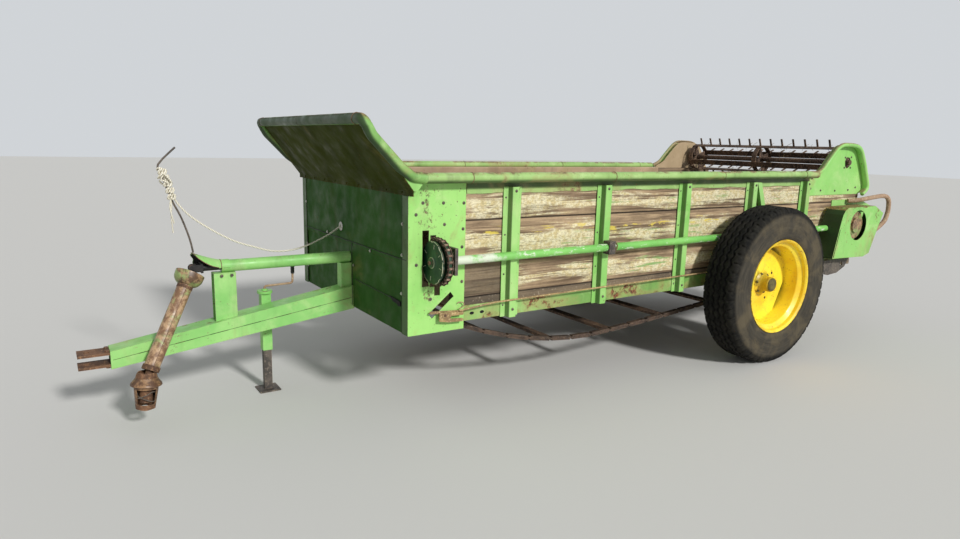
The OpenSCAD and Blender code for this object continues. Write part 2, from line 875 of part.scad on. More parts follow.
// Plates that carry the main beater and the distributor
module rear_arms() {
    z0 = sill_z + sill_h + pass;
    color("forestgreen")
        mirrored_y()
            difference() {
                union() {
                    side_plate(
                        [[box_len - 360, z0], [box_len - 360, sill_z + 510], [box_len + 20, sill_z + 510],
                         [dist_back + 70, sill_z + dist_h + 60], [dist_back + 70, sill_z + dist_h - 60],
                         [box_len - 60, z0]],
                        board_y, side_y
                    );
                    cross_bar(dist_back, sill_z + dist_h, board_y - 30, side_y + 20, 100);
                    cross_bar(main_back, sill_z + main_h, side_y, side_y + 14, 110);
                }
                cross_bar(dist_back, sill_z + dist_h, 0, 2 * side_y, shaft_d + 2 * fit);
                cross_bar(main_back, sill_z + main_h, 0, 2 * side_y, shaft_d + 2 * fit);
            }
}

guard_pipe_d = 34;

module rear_guards() {
    tip = rear_reach - guard_pipe_d / 2;
    y0 = side_y + guard_pipe_d / 2 - 1.1;
    y1 = side_y + 60;
    z = sill_z + 532;
    color("rosybrown")
        mirrored_y()
            swept_cord(
                smooth([
                    [bx(box_len - 170), y0, z - 30], [bx(box_len - 90), y1, z - 22],
                    [bx(box_len + 90), y1, z - 8], [bx(tip - 90), y1, z],
                    [bx(tip - 18), y1, z - 30], [bx(tip), y1, z - 90],
                    [bx(tip - 8), y1, z - 150], [bx(tip - 54), y1, z - 211],
                    [bx(box_len + 130), y1, z - 290], [bx(box_len + 10), y0, z - 346]
                ], 3),
                guard_pipe_d, 12
            );
}

// Axle and wheels

axle_plate_up = 45;

module axle() {
    plate = 20;
    y_plate = side_y + post_depth + 3;
    color("darkgreen")
        translate([bx(axle_back) - axle_w / 2, -y_plate, sill_z - axle_w])
            cube([axle_w, 2 * y_plate, axle_w]);
    color("darkgreen")
        mirrored_y() {
            translate([bx(axle_back) - 50, y_plate, sill_z - axle_w])
                cube([100, plate, axle_z - sill_z + axle_w + axle_plate_up]);
            cross_bar(axle_back, axle_z, y_plate + plate, wheel_y + 24, spindle_d);
        }
}

// A wheel drawn about the Z axis, its outer side up, with the hub's bore for the spindle
module rim_body() {
    r = rim_d / 2;
    w = rim_w / 2;
    t = 5;
    hub = 96;
    disc_y = -42;
    hub_l = 141;
    cap_l = 12;
    bore_l = 125;
    difference() {
        union() {
            rotate_extrude($fn = 96)
                polygon([
                    [r, w], [r - 16, w - 4], [r - 18, w - 30], [r - 50, w - 46], [r - 50, 20 - w],
                    [r - 18, -w + 8], [r - 16, 4 - w], [r, -w], [r, 5 - w], [r - 16 + t, 10 - w],
                    [r - 18 + t, 14 - w], [r - 50 + t, 28 - w], [r - 50 + t, w - 50],
                    [r - 18 + t, w - 34], [r - 16 + t, w - 10], [r, w - 5]
                ]);
            // Wheel disc with four flat chord edges
            translate([0, 0, disc_y])
                difference() {
                    cylinder(h = 8, r = r - 50 + t / 2, $fn = 96);
                    for (a = [25 : 90 : 295])
                        rotate([0, 0, a]) translate([r - 78, -r, -1]) cube([r, 2 * r, 10]);
                }
            translate([0, 0, -100]) cylinder(h = hub_l, d = hub, $fn = 64);
            translate([0, 0, disc_y + 8]) cylinder(h = 24, d1 = 150, d2 = hub, $fn = 64);
            translate([0, 0, hub_l - 100]) cylinder(h = cap_l, d = hub - 8, $fn = 64);
        }
        translate([0, 0, -101]) cylinder(h = bore_l + pass, d = spindle_d + 2 * fit, $fn = 64);
    }
}

module tyre_body() {
    r = tyre_d / 2;
    b = rim_d / 2;
    w = tyre_w / 2;
    f = rim_w / 2;
    half = [
        [b - 10, f - 12], [b + 1, f - 5.5], [b + 4, f + 2], [b + 22, w - 3], [b + 50, w],
        [r - 80, w - 1], [r - 40, w - 5], [r - 14, w - 14], [r - 4, w - 26], [r, w - 46]
    ];
    rotate_extrude($fn = 72)
        polygon(concat(half, [for (i = [len(half) - 1 : -1 : 0]) [half[i].x, -half[i].y]]));
}

module at_wheel(s) {
    translate([bx(axle_back), s * wheel_y, axle_z]) rotate([s > 0 ? -90 : 90, 0, 0]) children();
}

module rim_left() { color("gold") at_wheel(1) rim_body(); }
module rim_right() { color("gold") at_wheel(-1) rim_body(); }
module tyre_left() { color("dimgray") at_wheel(1) tyre_body(); }
module tyre_right() { color("dimgray") at_wheel(-1) tyre_body(); }

// Floor chains: one loop each, worked out link by link

links_top = 20;
links_arc = 5;
links_low = 20;
link_n = links_top + links_low + 2 * links_arc;

low_back = round(0.3238 * box_len);
run_z = apron_shaft_z - chain_r;

// Height of the hanging return run at a distance behind the front sheet
function hang_z(d) =
    run_z - chain_sag
    + chain_sag * (d < low_back
        ? pow((low_back - d) / (low_back - idler_back), 2)
        : pow((d - low_back) / (drive_back - low_back), 1.25));

// Point of the loop after u links: upper run, drive sprocket, return run, idler
function loop_point(u) =
    u < links_top ? [idler_back + (drive_back - idler_back) * u / links_top,
                     apron_shaft_z + chain_r]
    : u < links_top + links_arc ? let (a = 90 - 180 * (u - links_top) / links_arc)
        [drive_back + chain_r * cos(a), apron_shaft_z + chain_r * sin(a)]
    : u < links_top + links_arc + links_low ? let (
        d = drive_back + (idler_back - drive_back) * (u - links_top - links_arc) / links_low)
        [d, hang_z(d)]
    : let (a = 270 - 180 * (u - link_n + links_arc) / links_arc)
        [idler_back + chain_r * cos(a), apron_shaft_z + chain_r * sin(a)];

function loop_side(u, h) =
    let (a = loop_point(max(u - 0.02, 0)), b = loop_point(min(u + 0.02, link_n)), v = b - a)
    loop_point(u) + h * [-v.y, v.x] / norm(v);

function link_edge(k, s) = [
    loop_side(k + 0.06, s * link_h / 5), loop_side(k + 0.06, s * link_h / 2),
    loop_side(k + 0.94, s * link_h / 2), loop_side(k + 0.94, s * link_h / 5)
];

module apron_chains() {
    outer = [for (k = [0 : link_n - 1]) each link_edge(k, 1)];
    inner = [for (k = [0 : link_n - 1]) each link_edge(k, -1)];
    color("sienna")
        mirrored_y()
            translate([front_x, chain_y + link_w / 2, 0])
                mirror([1, 0, 0])
                    rotate([90, 0, 0])
                        linear_extrude(link_w)
                            difference() {
                                polygon(outer);
                                polygon(inner);
                            }
}

// Slats between the chains: upper run first, then the return run
module apron_slats() {
    t = 16;
    half = chain_y - link_w / 2 - seat;
    gap = (drive_back - idler_back - 300) / (slat_n - 1);
    color("sienna")
        for (i = [0 : slat_n - 1]) {
            d = idler_back + 150 + i * gap;
            translate([bx(d) - slat_w / 2, -half, floor_top + seat]) cube([slat_w, 2 * half, t]);
            slope = atan((hang_z(d - 5) - hang_z(d + 5)) / 10);
            translate([bx(d), -half, hang_z(d)])
                rotate([0, -slope, 0]) translate([-slat_w / 2, 0, -t / 2]) cube([slat_w, 2 * half, t]);
        }
}

// A cross shaft of the floor chains with a wheel under each chain
module chain_shaft(back) {
    cross_bar(back, apron_shaft_z, -board_y + seat, board_y - seat, apron_shaft_d);
    mirrored_y()
        cross_bar(back, apron_shaft_z, chain_y - link_w / 2, chain_y + link_w / 2,
                  2 * (chain_r - link_h / 2 - 5));
}

module idler_shaft() { color("dimgray") chain_shaft(idler_back); }
module drive_shaft() { color("dimgray") chain_shaft(drive_back); }

// Ratchet plate on the drive shaft's outer end
module apron_plate() {
    y = side_y + 60;
    z = apron_shaft_z;
    color("gray")
        difference() {
            union() {
                side_plate(
                    [[drive_back - 90, z + 58], [drive_back + 285, z + 58], [drive_back + 240, z - 5],
                     [drive_back + 140, z - 46], [drive_back + 20, z - 54], [drive_back - 90, z - 34]],
                    y, y + 8
                );
                cross_bar(drive_back, z, side_y + seat, y, apron_shaft_d);
            }
            cross_bar(drive_back + 190, z + 20, y - 1, y + 9, 34);
        }
}

// Beaters: cross shaft, band wheels and toothed bars
module beater(back, z, tip_r, bars, phase) {
    ring_r = tip_r - tooth_l - 6;
    span = inner_y - 14;
    teeth = floor((2 * span - 60) / tooth_gap);
    cross_bar(back, z, -side_y - 18, side_y + 18, shaft_d);
    for (y = [-span + 20, 0, span - 20])
        translate([bx(back), y - 20, z])
            rotate([-90, 0, 0]) {
                difference() {
                    cylinder(h = 40, r = ring_r, $fn = 48);
                    translate([0, 0, -1]) cylinder(h = 42, r = ring_r - 6, $fn = 48);
                }
                for (a = [0 : 90 : 270])
                    rotate([0, 0, a + phase]) translate([0, -20, 17]) cube([ring_r - 2, 40, 6]);
            }
    for (k = [0 : bars - 1])
        translate([bx(back), 0, z])
            rotate([0, phase + k * 360 / bars, 0]) {
                translate([-22, -span, ring_r - 1]) cube([44, 2 * span, 6]);
                for (i = [0 : teeth])
                    translate([k % 2 == 0 ? -18 : 12, -teeth * tooth_gap / 2 + i * tooth_gap - 7,
                               ring_r + 4])
                        cube([6, 14, tip_r - ring_r - 4]);
            }
}

module upper_beater() {
    color("saddlebrown") beater(upper_back, sill_z + upper_h, upper_r, 4, 22);
}

module main_beater() {
    color("saddlebrown") beater(main_back, sill_z + main_h, main_r, 6, 10);
}

// Distributor: a shaft with slanted paddles that throw to both sides
module distributor() {
    n = 6;
    z = sill_z + dist_h;
    pitch = (inner_y - 90) / n;
    color("saddlebrown") {
        cross_bar(dist_back, z, -side_y - 18, side_y + 18, shaft_d);
        for (s = [-1, 1], i = [0 : n - 1])
            translate([bx(dist_back), s * (70 + i * pitch), z])
                rotate([0, i * 60, 0])
                    for (a = [0, 180])
                        rotate([0, a, 0])
                            rotate([0, 0, s * 30]) {
                                translate([-4, -20, 10]) cube([8, 40, dist_r - 70]);
                                translate([-4, -48, dist_r - 90]) cube([8, 96, 84]);
                            }
    }
}

// Side drive

case_front = box_len - 555;
bracket_back = sprocket_back + 76;
bracket_t = 16;

module side_pipe() {
    start = bracket_back + pass;
    // The case's front wall leans, and the pipe's lower edge meets it first
    stop = case_front + 64 * (pipe_z - pipe_d / 2 - sill_z - 110) / 262 - seat;
    color("yellowgreen")
        difference() {
            translate([bx(stop), pipe_y, pipe_z])
                rotate([0, 90, 0]) cylinder(h = stop - start, d = pipe_d, $fn = 48);
            translate([bx(start) - 30, pipe_y, pipe_z])
                rotate([0, 90, 0]) cylinder(h = 31, d = pipe_d - 8, $fn = 48);
        }
}

sprocket_teeth = 22;
roller_d = 12;

module side_sprocket() {
    color("darkgreen")
        translate([bx(sprocket_back), pipe_y, pipe_z])
            rotate([0, 90, 0]) {
                difference() {
                    translate([0, 0, -8]) cylinder(h = 16, r = sprocket_r, $fn = 96);
                    for (i = [0 : sprocket_teeth - 1])
                        rotate([0, 0, i * 360 / sprocket_teeth])
                            translate([sprocket_r, 0, -9])
                                cylinder(h = 18, d = roller_d + 2 * seat, $fn = 24);
                }
                translate([0, 0, 8]) cylinder(h = 26, d = 70, $fn = 48);
                // Front disc with eight lobes
                difference() {
                    translate([0, 0, 30]) cylinder(h = 6, r = sprocket_r - 4, $fn = 96);
                    for (i = [0 : 7])
                        rotate([0, 0, i * 45]) translate([sprocket_r + 10, 0, 29])
                            cylinder(h = 8, d = 42, $fn = 32);
                }
                translate([0, 0, 36]) cylinder(h = 12, d = 44, $fn = 48);
                translate([0, 0, -80]) cylinder(h = 72, d = 30, $fn = 48);
            }
}

// Roller chain: over the outer half of the sprocket and through the slot into the front housing
module side_chain() {
    plate = 20;
    r = sprocket_r;
    pitch = 2 * r * sin(180 / sprocket_teeth);
    inside = 5 * pitch;
    color("sienna")
        translate([bx(sprocket_back), pipe_y, pipe_z])
            rotate([0, 90, 0])
                for (x = [-13, 10])
                    translate([0, 0, x])
                        difference() {
                            union() {
                                cylinder(h = 3, r = r + plate / 2, $fn = 96);
                                translate([-r - plate / 2, -inside, 0])
                                    cube([2 * r + plate, inside, 3]);
                            }
                            translate([0, 0, -1]) cylinder(h = 5, r = r - plate / 2, $fn = 96);
                            translate([-r + plate / 2, -inside - 1, -1])
                                cube([2 * r - plate, inside + 1, 5]);
                        }
    color("sienna")
        translate([bx(sprocket_back) - 13, pipe_y, pipe_z])
            rotate([0, 90, 0]) {
                for (i = [0 : sprocket_teeth / 2])
                    rotate([0, 0, i * 360 / sprocket_teeth])
                        translate([r, 0, 0]) cylinder(h = 26, d = roller_d, $fn = 24);
                for (i = [1 : 4], s = [-1, 1])
                    translate([s * r, -i * pitch, 0]) cylinder(h = 26, d = roller_d, $fn = 24);
            }
}

module side_bracket() {
    color("darkslategray") {
        difference() {
            translate([bx(bracket_back), side_y, pipe_z - 62])
                cube([bracket_t, pipe_y - side_y + 45, 128]);
            translate([bx(bracket_back) - 1, pipe_y, pipe_z])
                rotate([0, 90, 0]) cylinder(h = bracket_t + 2, d = 30 + 2 * seat, $fn = 48);
        }
        // Clip that holds the pipe at the second post
        difference() {
            translate([bx(post_places[1] + 26), side_y + post_depth, pipe_z - 36])
                cube([44, pipe_d + 8, 72]);
            translate([bx(post_places[1] + 27), pipe_y, pipe_z])
                rotate([0, 90, 0]) cylinder(h = 46, d = pipe_d + 2 * seat, $fn = 48);
        }
    }
}

case_outline = [
    [case_front, sill_z + 110], [case_front + 64, sill_z + 372], [case_front + 80, sill_z + 420],
    [case_front + 104, sill_z + 452], [case_front + 142, sill_z + 470],
    [case_front + 510, sill_z + 473], [case_front + 640, sill_z + 415],
    [case_front + 590, sill_z + 319], [case_front + 500, sill_z + 118],
    [case_front + 420, sill_z + 97]
];
case_middle = [case_front + 310, sill_z + 290];
case_y0 = side_y + 22;
case_y1 = side_y + case_out;

module chain_case() {
    inner = [for (p = case_outline) case_middle + (p - case_middle) * 0.98];
    color("limegreen")
        difference() {
            side_plate(case_outline, case_y0, case_y1);
            side_plate(inner, case_y0 - 1, case_y1 - case_t);
            cross_bar(main_back, sill_z + main_h, case_y1 - 2 * case_t, case_y1 + 1, 220);
        }
    // Spacers between the case and the arm plate
    color("limegreen")
        for (p = [[230, 150], [215, 452], [480, 430], [470, 160]])
            cross_bar(case_front + p.x, sill_z + p.y, side_y + seat, case_y1 - 1, 16);
}

module case_disc() {
    color("gray") {
        cross_bar(main_back, sill_z + main_h, side_y + 18 + seat, case_y1 - 24, 60);
        cross_bar(main_back, sill_z + main_h, case_y1 - 40, case_y1 - 24, 200);
        cross_bar(main_back, sill_z + main_h, case_y1 - 24, case_y1 - 10, 110);
    }
}

// Controls and rope

module control_lever() {
    color("sienna") {
        side_plate(
            [[100, sill_z + 62], [104, sill_z + 74], [290, sill_z + 62], [290, sill_z + 48]],
            side_y + 14, side_y + 22
        );
        cross_bar(180, sill_z + 50, side_y, side_y + 34, 14);
        side_plate(
            [[150, sill_z + 20], [284, sill_z + 8], [284, sill_z + 56], [150, sill_z + 66]],
            side_y + 22, side_y + 32
        );
    }
}

module control_rod() {
    d = 9;
    y = side_y + post_depth + d / 2 + pass;
    // The rod passes over the axle's plate
    rod_z = max(sill_z + 106, axle_z + axle_plate_up + 20);
    color("goldenrod")
        swept_cord(
            [[bx(262), side_y + 28, sill_z + 58 + seat + d / 2], [bx(460), y, sill_z + 86],
             [bx(box_len - 655), y, rod_z], [bx(box_len - 565), y, sill_z + 60]], d, 8
        );
}

module rope_rod() {
    base = [bx(-joint_reach + 7), 0, joint_p.z + guard_d / 2 + hood_flare + hood_wall - 0.4];
    shape = [[0, 0], [13, 71], [45, 174], [83, 260], [117, 372], [130, 420], [53, 500]];
    color("gray") swept_cord(smooth([for (p = shape) base + [p.x, 0, p.y]], 3), 9, 8);
}

module rope_eye() {
    color("silver")
        translate([bx(-seat), rope_points[0].y, sill_z + rope_points[0].z])
            rotate([0, 90, 0]) cylinder(h = 5, d = 40, $fn = 48);
}

// A tube swept along the points, its rings square to the mean direction at each point
module swept_cord(points, d, sides) {
    n = len(points);
    rings = [for (i = [0 : n - 1])
        let (
            v = points[min(i + 1, n - 1)] - points[max(i - 1, 0)],
            z = v / norm(v),
            x0 = cross([0, 1, 0], z),
            x = x0 / norm(x0),
            y = cross(z, x)
        )
        [for (k = [0 : sides - 1])
            points[i] + d / 2 * (cos(k * 360 / sides) * x + sin(k * 360 / sides) * y)]];
    faces = concat(
        [[for (k = [0 : sides - 1]) k]],
        [for (i = [0 : n - 2], k = [0 : sides - 1])
            [i * sides + k, (i + 1) * sides + k, (i + 1) * sides + (k + 1) % sides,
             i * sides + (k + 1) % sides]],
        [[for (k = [sides - 1 : -1 : 0]) (n - 1) * sides + k]]
    );
    polyhedron([for (r = rings) each r], faces);
}

// Points of a smooth curve through the chosen points, with steps between each pair
function smooth(points, steps) = [
    for (i = [0 : len(points) - 2], j = [0 : steps - 1])
        let (
            p0 = points[max(i - 1, 0)], p1 = points[i], p2 = points[i + 1],
            p3 = points[min(i + 2, len(points) - 1)], t = j / steps
        )
        0.5 * (2 * p1 + (p2 - p0) * t + (2 * p0 - 5 * p1 + 4 * p2 - p3) * t * t
               + (3 * p1 - p0 - 3 * p2 + p3) * t * t * t),
    points[len(points) - 1]
];

function rope_place(p) = [bx(-p.x), p.y, sill_z + p.z];

module rope() {
    color("beige")
        swept_cord(smooth([for (p = rope_points) rope_place(p)], 4), rope_d, 8);
}

module rope_tail() {
    knot = rope_place(rope_points[len(rope_points) - 1]);
    color("beige") {
        translate(knot + [8, 0, 4]) sphere(d = 34, $fn = 24);
        swept_cord(
            [knot + [6, 0, -10], knot + [2, 12, -60], knot + [6, 16, -120], knot + [2, 14, -198]],
            rope_d, 8
        );
    }
}

tongue();
hitch_straps();
tube_supports();
guard_tube();
guard_hood();
shaft_joint();
shield();
shaft_bells();
shaft_yoke();
jack_sleeve();
jack_leg();
jack_crank();
front_sheet();
flare();
side_chain();
front_side_left();
front_side_right();
inner_guard();
front_beam();
side_boards_left();
side_boards_right();
floor_boards();
cross_members();
sill_left();
sill_right();
posts_left();
posts_right();
rail_left();
rail_right();
ear_left();
ear_right();
rear_arms();
rear_guards();
axle();
rim_left();
tyre_left();
rim_right();
tyre_right();
apron_chains();
apron_slats();
idler_shaft();
drive_shaft();
apron_plate();
upper_beater();
main_beater();
distributor();
side_pipe();
side_sprocket();
side_bracket();
chain_case();
case_disc();
control_lever();
control_rod();
rope_rod();
rope_eye();
rope();
rope_tail();
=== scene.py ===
import logging
import math
from collections.abc import Callable, Sequence
from dataclasses import dataclass
from enum import Enum

import bmesh
import bpy
import numpy as np
from mathutils import Matrix, Vector


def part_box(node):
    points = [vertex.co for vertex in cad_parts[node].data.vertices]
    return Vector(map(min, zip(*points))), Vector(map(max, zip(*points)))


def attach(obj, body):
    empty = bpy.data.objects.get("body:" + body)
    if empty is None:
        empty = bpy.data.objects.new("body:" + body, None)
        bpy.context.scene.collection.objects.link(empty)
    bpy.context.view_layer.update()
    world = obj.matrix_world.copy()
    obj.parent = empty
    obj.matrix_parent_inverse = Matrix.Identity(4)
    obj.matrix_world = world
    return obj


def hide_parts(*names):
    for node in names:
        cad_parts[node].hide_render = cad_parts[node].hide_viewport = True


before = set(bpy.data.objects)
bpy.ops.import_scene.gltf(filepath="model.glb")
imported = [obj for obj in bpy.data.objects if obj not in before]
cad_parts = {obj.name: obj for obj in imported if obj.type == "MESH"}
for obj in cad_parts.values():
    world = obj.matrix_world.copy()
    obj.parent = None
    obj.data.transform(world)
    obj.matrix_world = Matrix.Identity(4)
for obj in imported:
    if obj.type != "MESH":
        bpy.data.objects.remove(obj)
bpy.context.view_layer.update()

Array = np.ndarray
Part = tuple[Array, Sequence]  # points and faces
Point = tuple[float, float, float]
Socket = bpy.types.NodeSocket
log = logging.getLogger("spreader")

# The photograph's camera, fitted to the box, the wheel and the tongue.
IMAGE_W, IMAGE_H = 960, 539
EYE = (2.853, 3.407, 1.350)
YAW, PITCH, ROLL = -123.56, -10.83, 1.45
FOCAL_PX = 665.7
SEED = 41
HAIR = 0.0003  # gap between a piece and what it sits on


# Places

@dataclass(frozen=True)
class Layout:
    """Main places of the frame, in metres, as in the part's source."""

    front_x: float = 1.465
    side_y: float = 0.720
    sill_z: float = 0.483
    sheet: float = 0.004
    board_t: float = 0.038
    board_h: float = 0.190
    low_board_h: float = 0.112
    box_len: float = 3.860
    rail_out: float = 0.050
    ear_front: float = 3.177
    posts: tuple[float, ...] = (0.575, 1.200, 1.860, 2.510, 3.120)

    def x(self, back: float | Array) -> float | Array:
        """X of a distance behind the front sheet."""
        return self.front_x - back

    def z(self, height: float | Array) -> float | Array:
        """Z of a height above the underside of the sills."""
        return self.sill_z + height

    @property
    def board_y(self) -> float:
        """Outer face of the side boards."""
        return self.side_y - self.sheet

    @property
    def inner_y(self) -> float:
        """Inner face of the side boards."""
        return self.board_y - self.board_t

    @property
    def board_top(self) -> float:
        """Upper edge of the side boards."""
        return self.sill_z + self.sheet + self.low_board_h + 3 * self.board_h


LAY = Layout()


WHEEL_X, WHEEL_Z, TYRE_R = -1.010, 0.500, 0.500


# Surfaces

def grid_faces(rows: int, cols: int, wrap_rows: bool = False, wrap_cols: bool = False) -> Array:
    """Quads of a grid of points stored row by row.

    Args:
        rows: number of rows of points.
        cols: points in a row.
        wrap_rows: the last row joins the first one.
        wrap_cols: each row's last point joins its first one.

    Returns:
        An array of four indices a face.
    """
    r = np.arange(rows if wrap_rows else rows - 1)
    c = np.arange(cols if wrap_cols else cols - 1)
    i, j = np.meshgrid(r, c, indexing="ij")
    i2, j2 = (i + 1) % rows, (j + 1) % cols
    return np.stack([i * cols + j, i2 * cols + j, i2 * cols + j2, i * cols + j2], -1).reshape(-1, 4)


def unit(v: Array) -> Array:
    """Vectors scaled to length one."""
    return v / np.maximum(np.linalg.norm(v, axis=-1, keepdims=True), 1e-12)


def end_caps(rows: int, cols: int) -> list[list[int]]:
    """The first and the last row of a grid of points, as two faces."""
    return [list(range(cols)), [(rows - 1) * cols + j for j in range(cols - 1, -1, -1)]]


def carry(section: Array, path: Array, up: Sequence[float] = (0, 0, 1), loop: bool = False,
          scale: Array | None = None) -> Part:
    """A closed profile carried along a path: point(i, j) = path(i) + a(j) * side + b(j) * top.

    Args:
        section: closed profile of (side, top) offsets.
        path: points that the profile follows.
        up: direction that the profile's top keeps nearest to.
        loop: the path closes on itself.
        scale: factor of the profile at each path point.

    Returns:
        Points and faces.
    """
    path = np.asarray(path, float)
    if loop:
        tangent = np.roll(path, -1, 0) - np.roll(path, 1, 0)
    else:
        tangent = np.gradient(path, axis=0)
    tangent = unit(tangent)
    side = unit(np.cross(tangent, np.asarray(up, float)))
    top = np.cross(side, tangent)
    k = np.ones(len(path)) if scale is None else np.asarray(scale, float)
    s = np.asarray(section, float)
    points = (path[:, None] + k[:, None, None] * (s[None, :, :1] * side[:, None]
                                                 + s[None, :, 1:] * top[:, None]))
    n, m = len(path), len(s)
    faces = grid_faces(n, m, loop, True).tolist()
    return points.reshape(-1, 3), faces if loop else faces + end_caps(n, m)


def full_turn(steps: int) -> Array:
    """Angles at equal steps once round."""
    return np.linspace(0, 2 * math.pi, steps, endpoint=False)


def circle(radius: float, sides: int = 20, flat: float = 1.0) -> Array:
    """Profile of a round bar: radius * (cos t, flat * sin t)."""
    t = full_turn(sides)
    return np.stack([radius * np.cos(t), radius * flat * np.sin(t)], -1)


def rod(radius: float, sides: int, path: Array, up: Sequence[float] = (0, 0, 1),
        loop: bool = False, scale: Array | None = None) -> Part:
    """A round bar carried along a path."""
    return carry(circle(radius, sides), path, up, loop, scale)


def rounded(width: float, height: float, radius: float, steps: int = 3) -> Array:
    """Profile of a bar with rounded corners, centred."""
    a = np.linspace(0, math.pi / 2, steps + 1)
    parts = []
    for k, (sx, sy) in enumerate(((1, 1), (-1, 1), (-1, -1), (1, -1))):
        cx, cy = sx * (width / 2 - radius), sy * (height / 2 - radius)
        t = a + k * math.pi / 2
        parts.append(np.stack([cx + radius * np.cos(t), cy + radius * np.sin(t)], -1))
    return np.concatenate(parts)


def fillet(points: Sequence[Sequence[float]], radius: float, steps: int = 6,
           loop: bool = False) -> Array:
    """A line of points whose corners become arcs of about the radius.

    Each corner is a quadratic curve between two points set back from it by the arc's
    tangent length, or by less than half of a short stretch.
    """
    p = np.asarray(points, float)
    n = len(p)
    out = [] if loop else [p[0]]
    for i in range(0 if loop else 1, n if loop else n - 1):
        a, b, c = p[i - 1], p[i], p[(i + 1) % n]
        u, v = unit(a - b), unit(c - b)
        half = math.acos(max(-1.0, min(1.0, float(u @ v)))) / 2
        reach = radius / max(math.tan(half), 1e-6)
        reach = min(reach, 0.48 * np.linalg.norm(a - b), 0.48 * np.linalg.norm(c - b))
        t = np.linspace(0, 1, steps + 1)[:, None]
        out.extend((1 - t) ** 2 * (b + u * reach) + 2 * t * (1 - t) * b + t ** 2 * (b + v * reach))
    if not loop:
        out.append(p[-1])
    return np.asarray(out)


def smooth(points: Sequence[Sequence[float]], steps: int) -> Array:
    """Points of the smooth cubic curve through the given ones, with steps between each pair."""
    p = np.asarray(points, float)
    q = np.concatenate([p[:1], p, p[-1:]])
    t = (np.arange(steps) / steps)[None, :, None]
    p0, p1, p2, p3 = (q[k:k + len(p) - 1, None] for k in range(4))
    c = 0.5 * (2 * p1 + (p2 - p0) * t + (2 * p0 - 5 * p1 + 4 * p2 - p3) * t ** 2
               + (3 * p1 - p0 - 3 * p2 + p3) * t ** 3)
    return np.concatenate([c.reshape(-1, p.shape[1]), p[-1:]])


def run_along(path: Array) -> Array:
    """Distance along a line of points at each of them."""
    return np.concatenate([[0], np.cumsum(np.linalg.norm(np.diff(path, axis=0), axis=1))])


def spread(path: Array, step: float) -> Array:
    """The same line with points at about equal distances."""
    path = np.asarray(path, float)
    run = run_along(path)
    n = max(2, int(round(run[-1] / step)) + 1)
    s = np.linspace(0, run[-1], n)
    return np.stack([np.interp(s, run, path[:, k]) for k in range(path.shape[1])], -1)


def revolve(profile: Array, centre: Sequence[float] = (0, 0, 0), axis: Sequence[float] = (0, 1, 0),
            sides: int = 48, arc: float = 2 * math.pi, start: float = 0.0) -> Part:
    """A profile of (radius, distance along the axis) turned about the axis.

    Args:
        profile: closed loop of (radius, along) points.
        centre: the axis passes through it, and distances count from it.
        axis: direction of the axis.
        sides: steps round.
        arc: angle turned, a full turn by default.
        start: first angle.

    Returns:
        Points and faces.
    """
    n = unit(np.asarray(axis, float))
    ref = np.array([0.0, 0, 1]) if abs(n[2]) < 0.9 else np.array([1.0, 0, 0])
    u = unit(np.cross(ref, n))
    v = np.cross(n, u)
    full = arc > 2 * math.pi - 1e-6
    t = start + np.linspace(0, arc, sides if full else sides + 1, endpoint=not full)
    ring = np.cos(t)[:, None] * u + np.sin(t)[:, None] * v
    p = np.asarray(profile, float)
    points = (np.asarray(centre, float) + p[None, :, :1] * ring[:, None]
              + p[None, :, 1:] * n).reshape(-1, 3)
    faces = grid_faces(len(t), len(p), full, True).tolist()
    return points, faces if full else faces + end_caps(len(t), len(p))


def prism(outline: Array, to_space: Callable[[Array], Array], depth: Sequence[float]) -> Part:
    """A flat outline given depth: the outline at the first depth joined to it at the second.

    Args:
        outline: closed loop of flat points.
        to_space: turns flat points and a depth column (n, 3) into space.
        depth: the two depths.
    """
    flat = np.asarray(outline, float)
    n = len(flat)
    layers = [to_space(np.column_stack([flat, np.full(n, d)])) for d in depth]
    faces = [list(range(n)), [n + k for k in range(n - 1, -1, -1)]]
    faces += [[k, (k + 1) % n, n + (k + 1) % n, n + k] for k in range(n)]
    return np.concatenate(layers), faces


def side_space(flat: Array) -> Array:
    """(distance behind the front sheet, height above the sills, y) to space."""
    return np.column_stack([LAY.x(flat[:, 0]), flat[:, 2], LAY.z(flat[:, 1])])


def at_side(pairs: Sequence[tuple[float, float]], y: float) -> list[Point]:
    """(distance behind the front sheet, height above the sills) pairs at one y, in space."""
    return [(LAY.x(back), y, LAY.z(height)) for back, height in pairs]


def ring_plate(outer: Array, hole: Array, to_space: Callable[[Array], Array],
               depth: Sequence[float]) -> Part:
    """A plate with one hole: straight lines join each hole point to the outline at its angle.

    Both loops are given point for point, so the surface is (1 - s) * hole + s * outer.
    """
    n = len(hole)
    loops = []
    for d in depth:
        for s in (0.0, 1.0):
            flat = (1 - s) * hole + s * outer
            loops.append(to_space(np.column_stack([flat, np.full(n, d)])))
    order = [0, 1, 3, 2]
    points = np.concatenate([loops[k] for k in order])
    return points, grid_faces(4, n, True, True).tolist()


def at_angles(outline: Array, centre: Sequence[float], angles: Array) -> Array:
    """Points where rays from a centre at the angles meet a closed outline."""
    p = np.asarray(outline, float) - np.asarray(centre, float)
    q = np.roll(p, -1, 0)
    d = np.stack([np.cos(angles), np.sin(angles)], -1)
    e = q - p
    den = d[:, None, 0] * e[None, :, 1] - d[:, None, 1] * e[None, :, 0]
    den = np.where(np.abs(den) < 1e-12, 1e-12, den)
    t = (p[None, :, 0] * e[None, :, 1] - p[None, :, 1] * e[None, :, 0]) / den
    s = (p[None, :, 0] * d[:, None, 1] - p[None, :, 1] * d[:, None, 0]) / den
    t = np.where((s >= -1e-9) & (s <= 1 + 1e-9) & (t > 1e-9), t, np.inf)
    return np.asarray(centre, float) + d * t.min(1)[:, None]


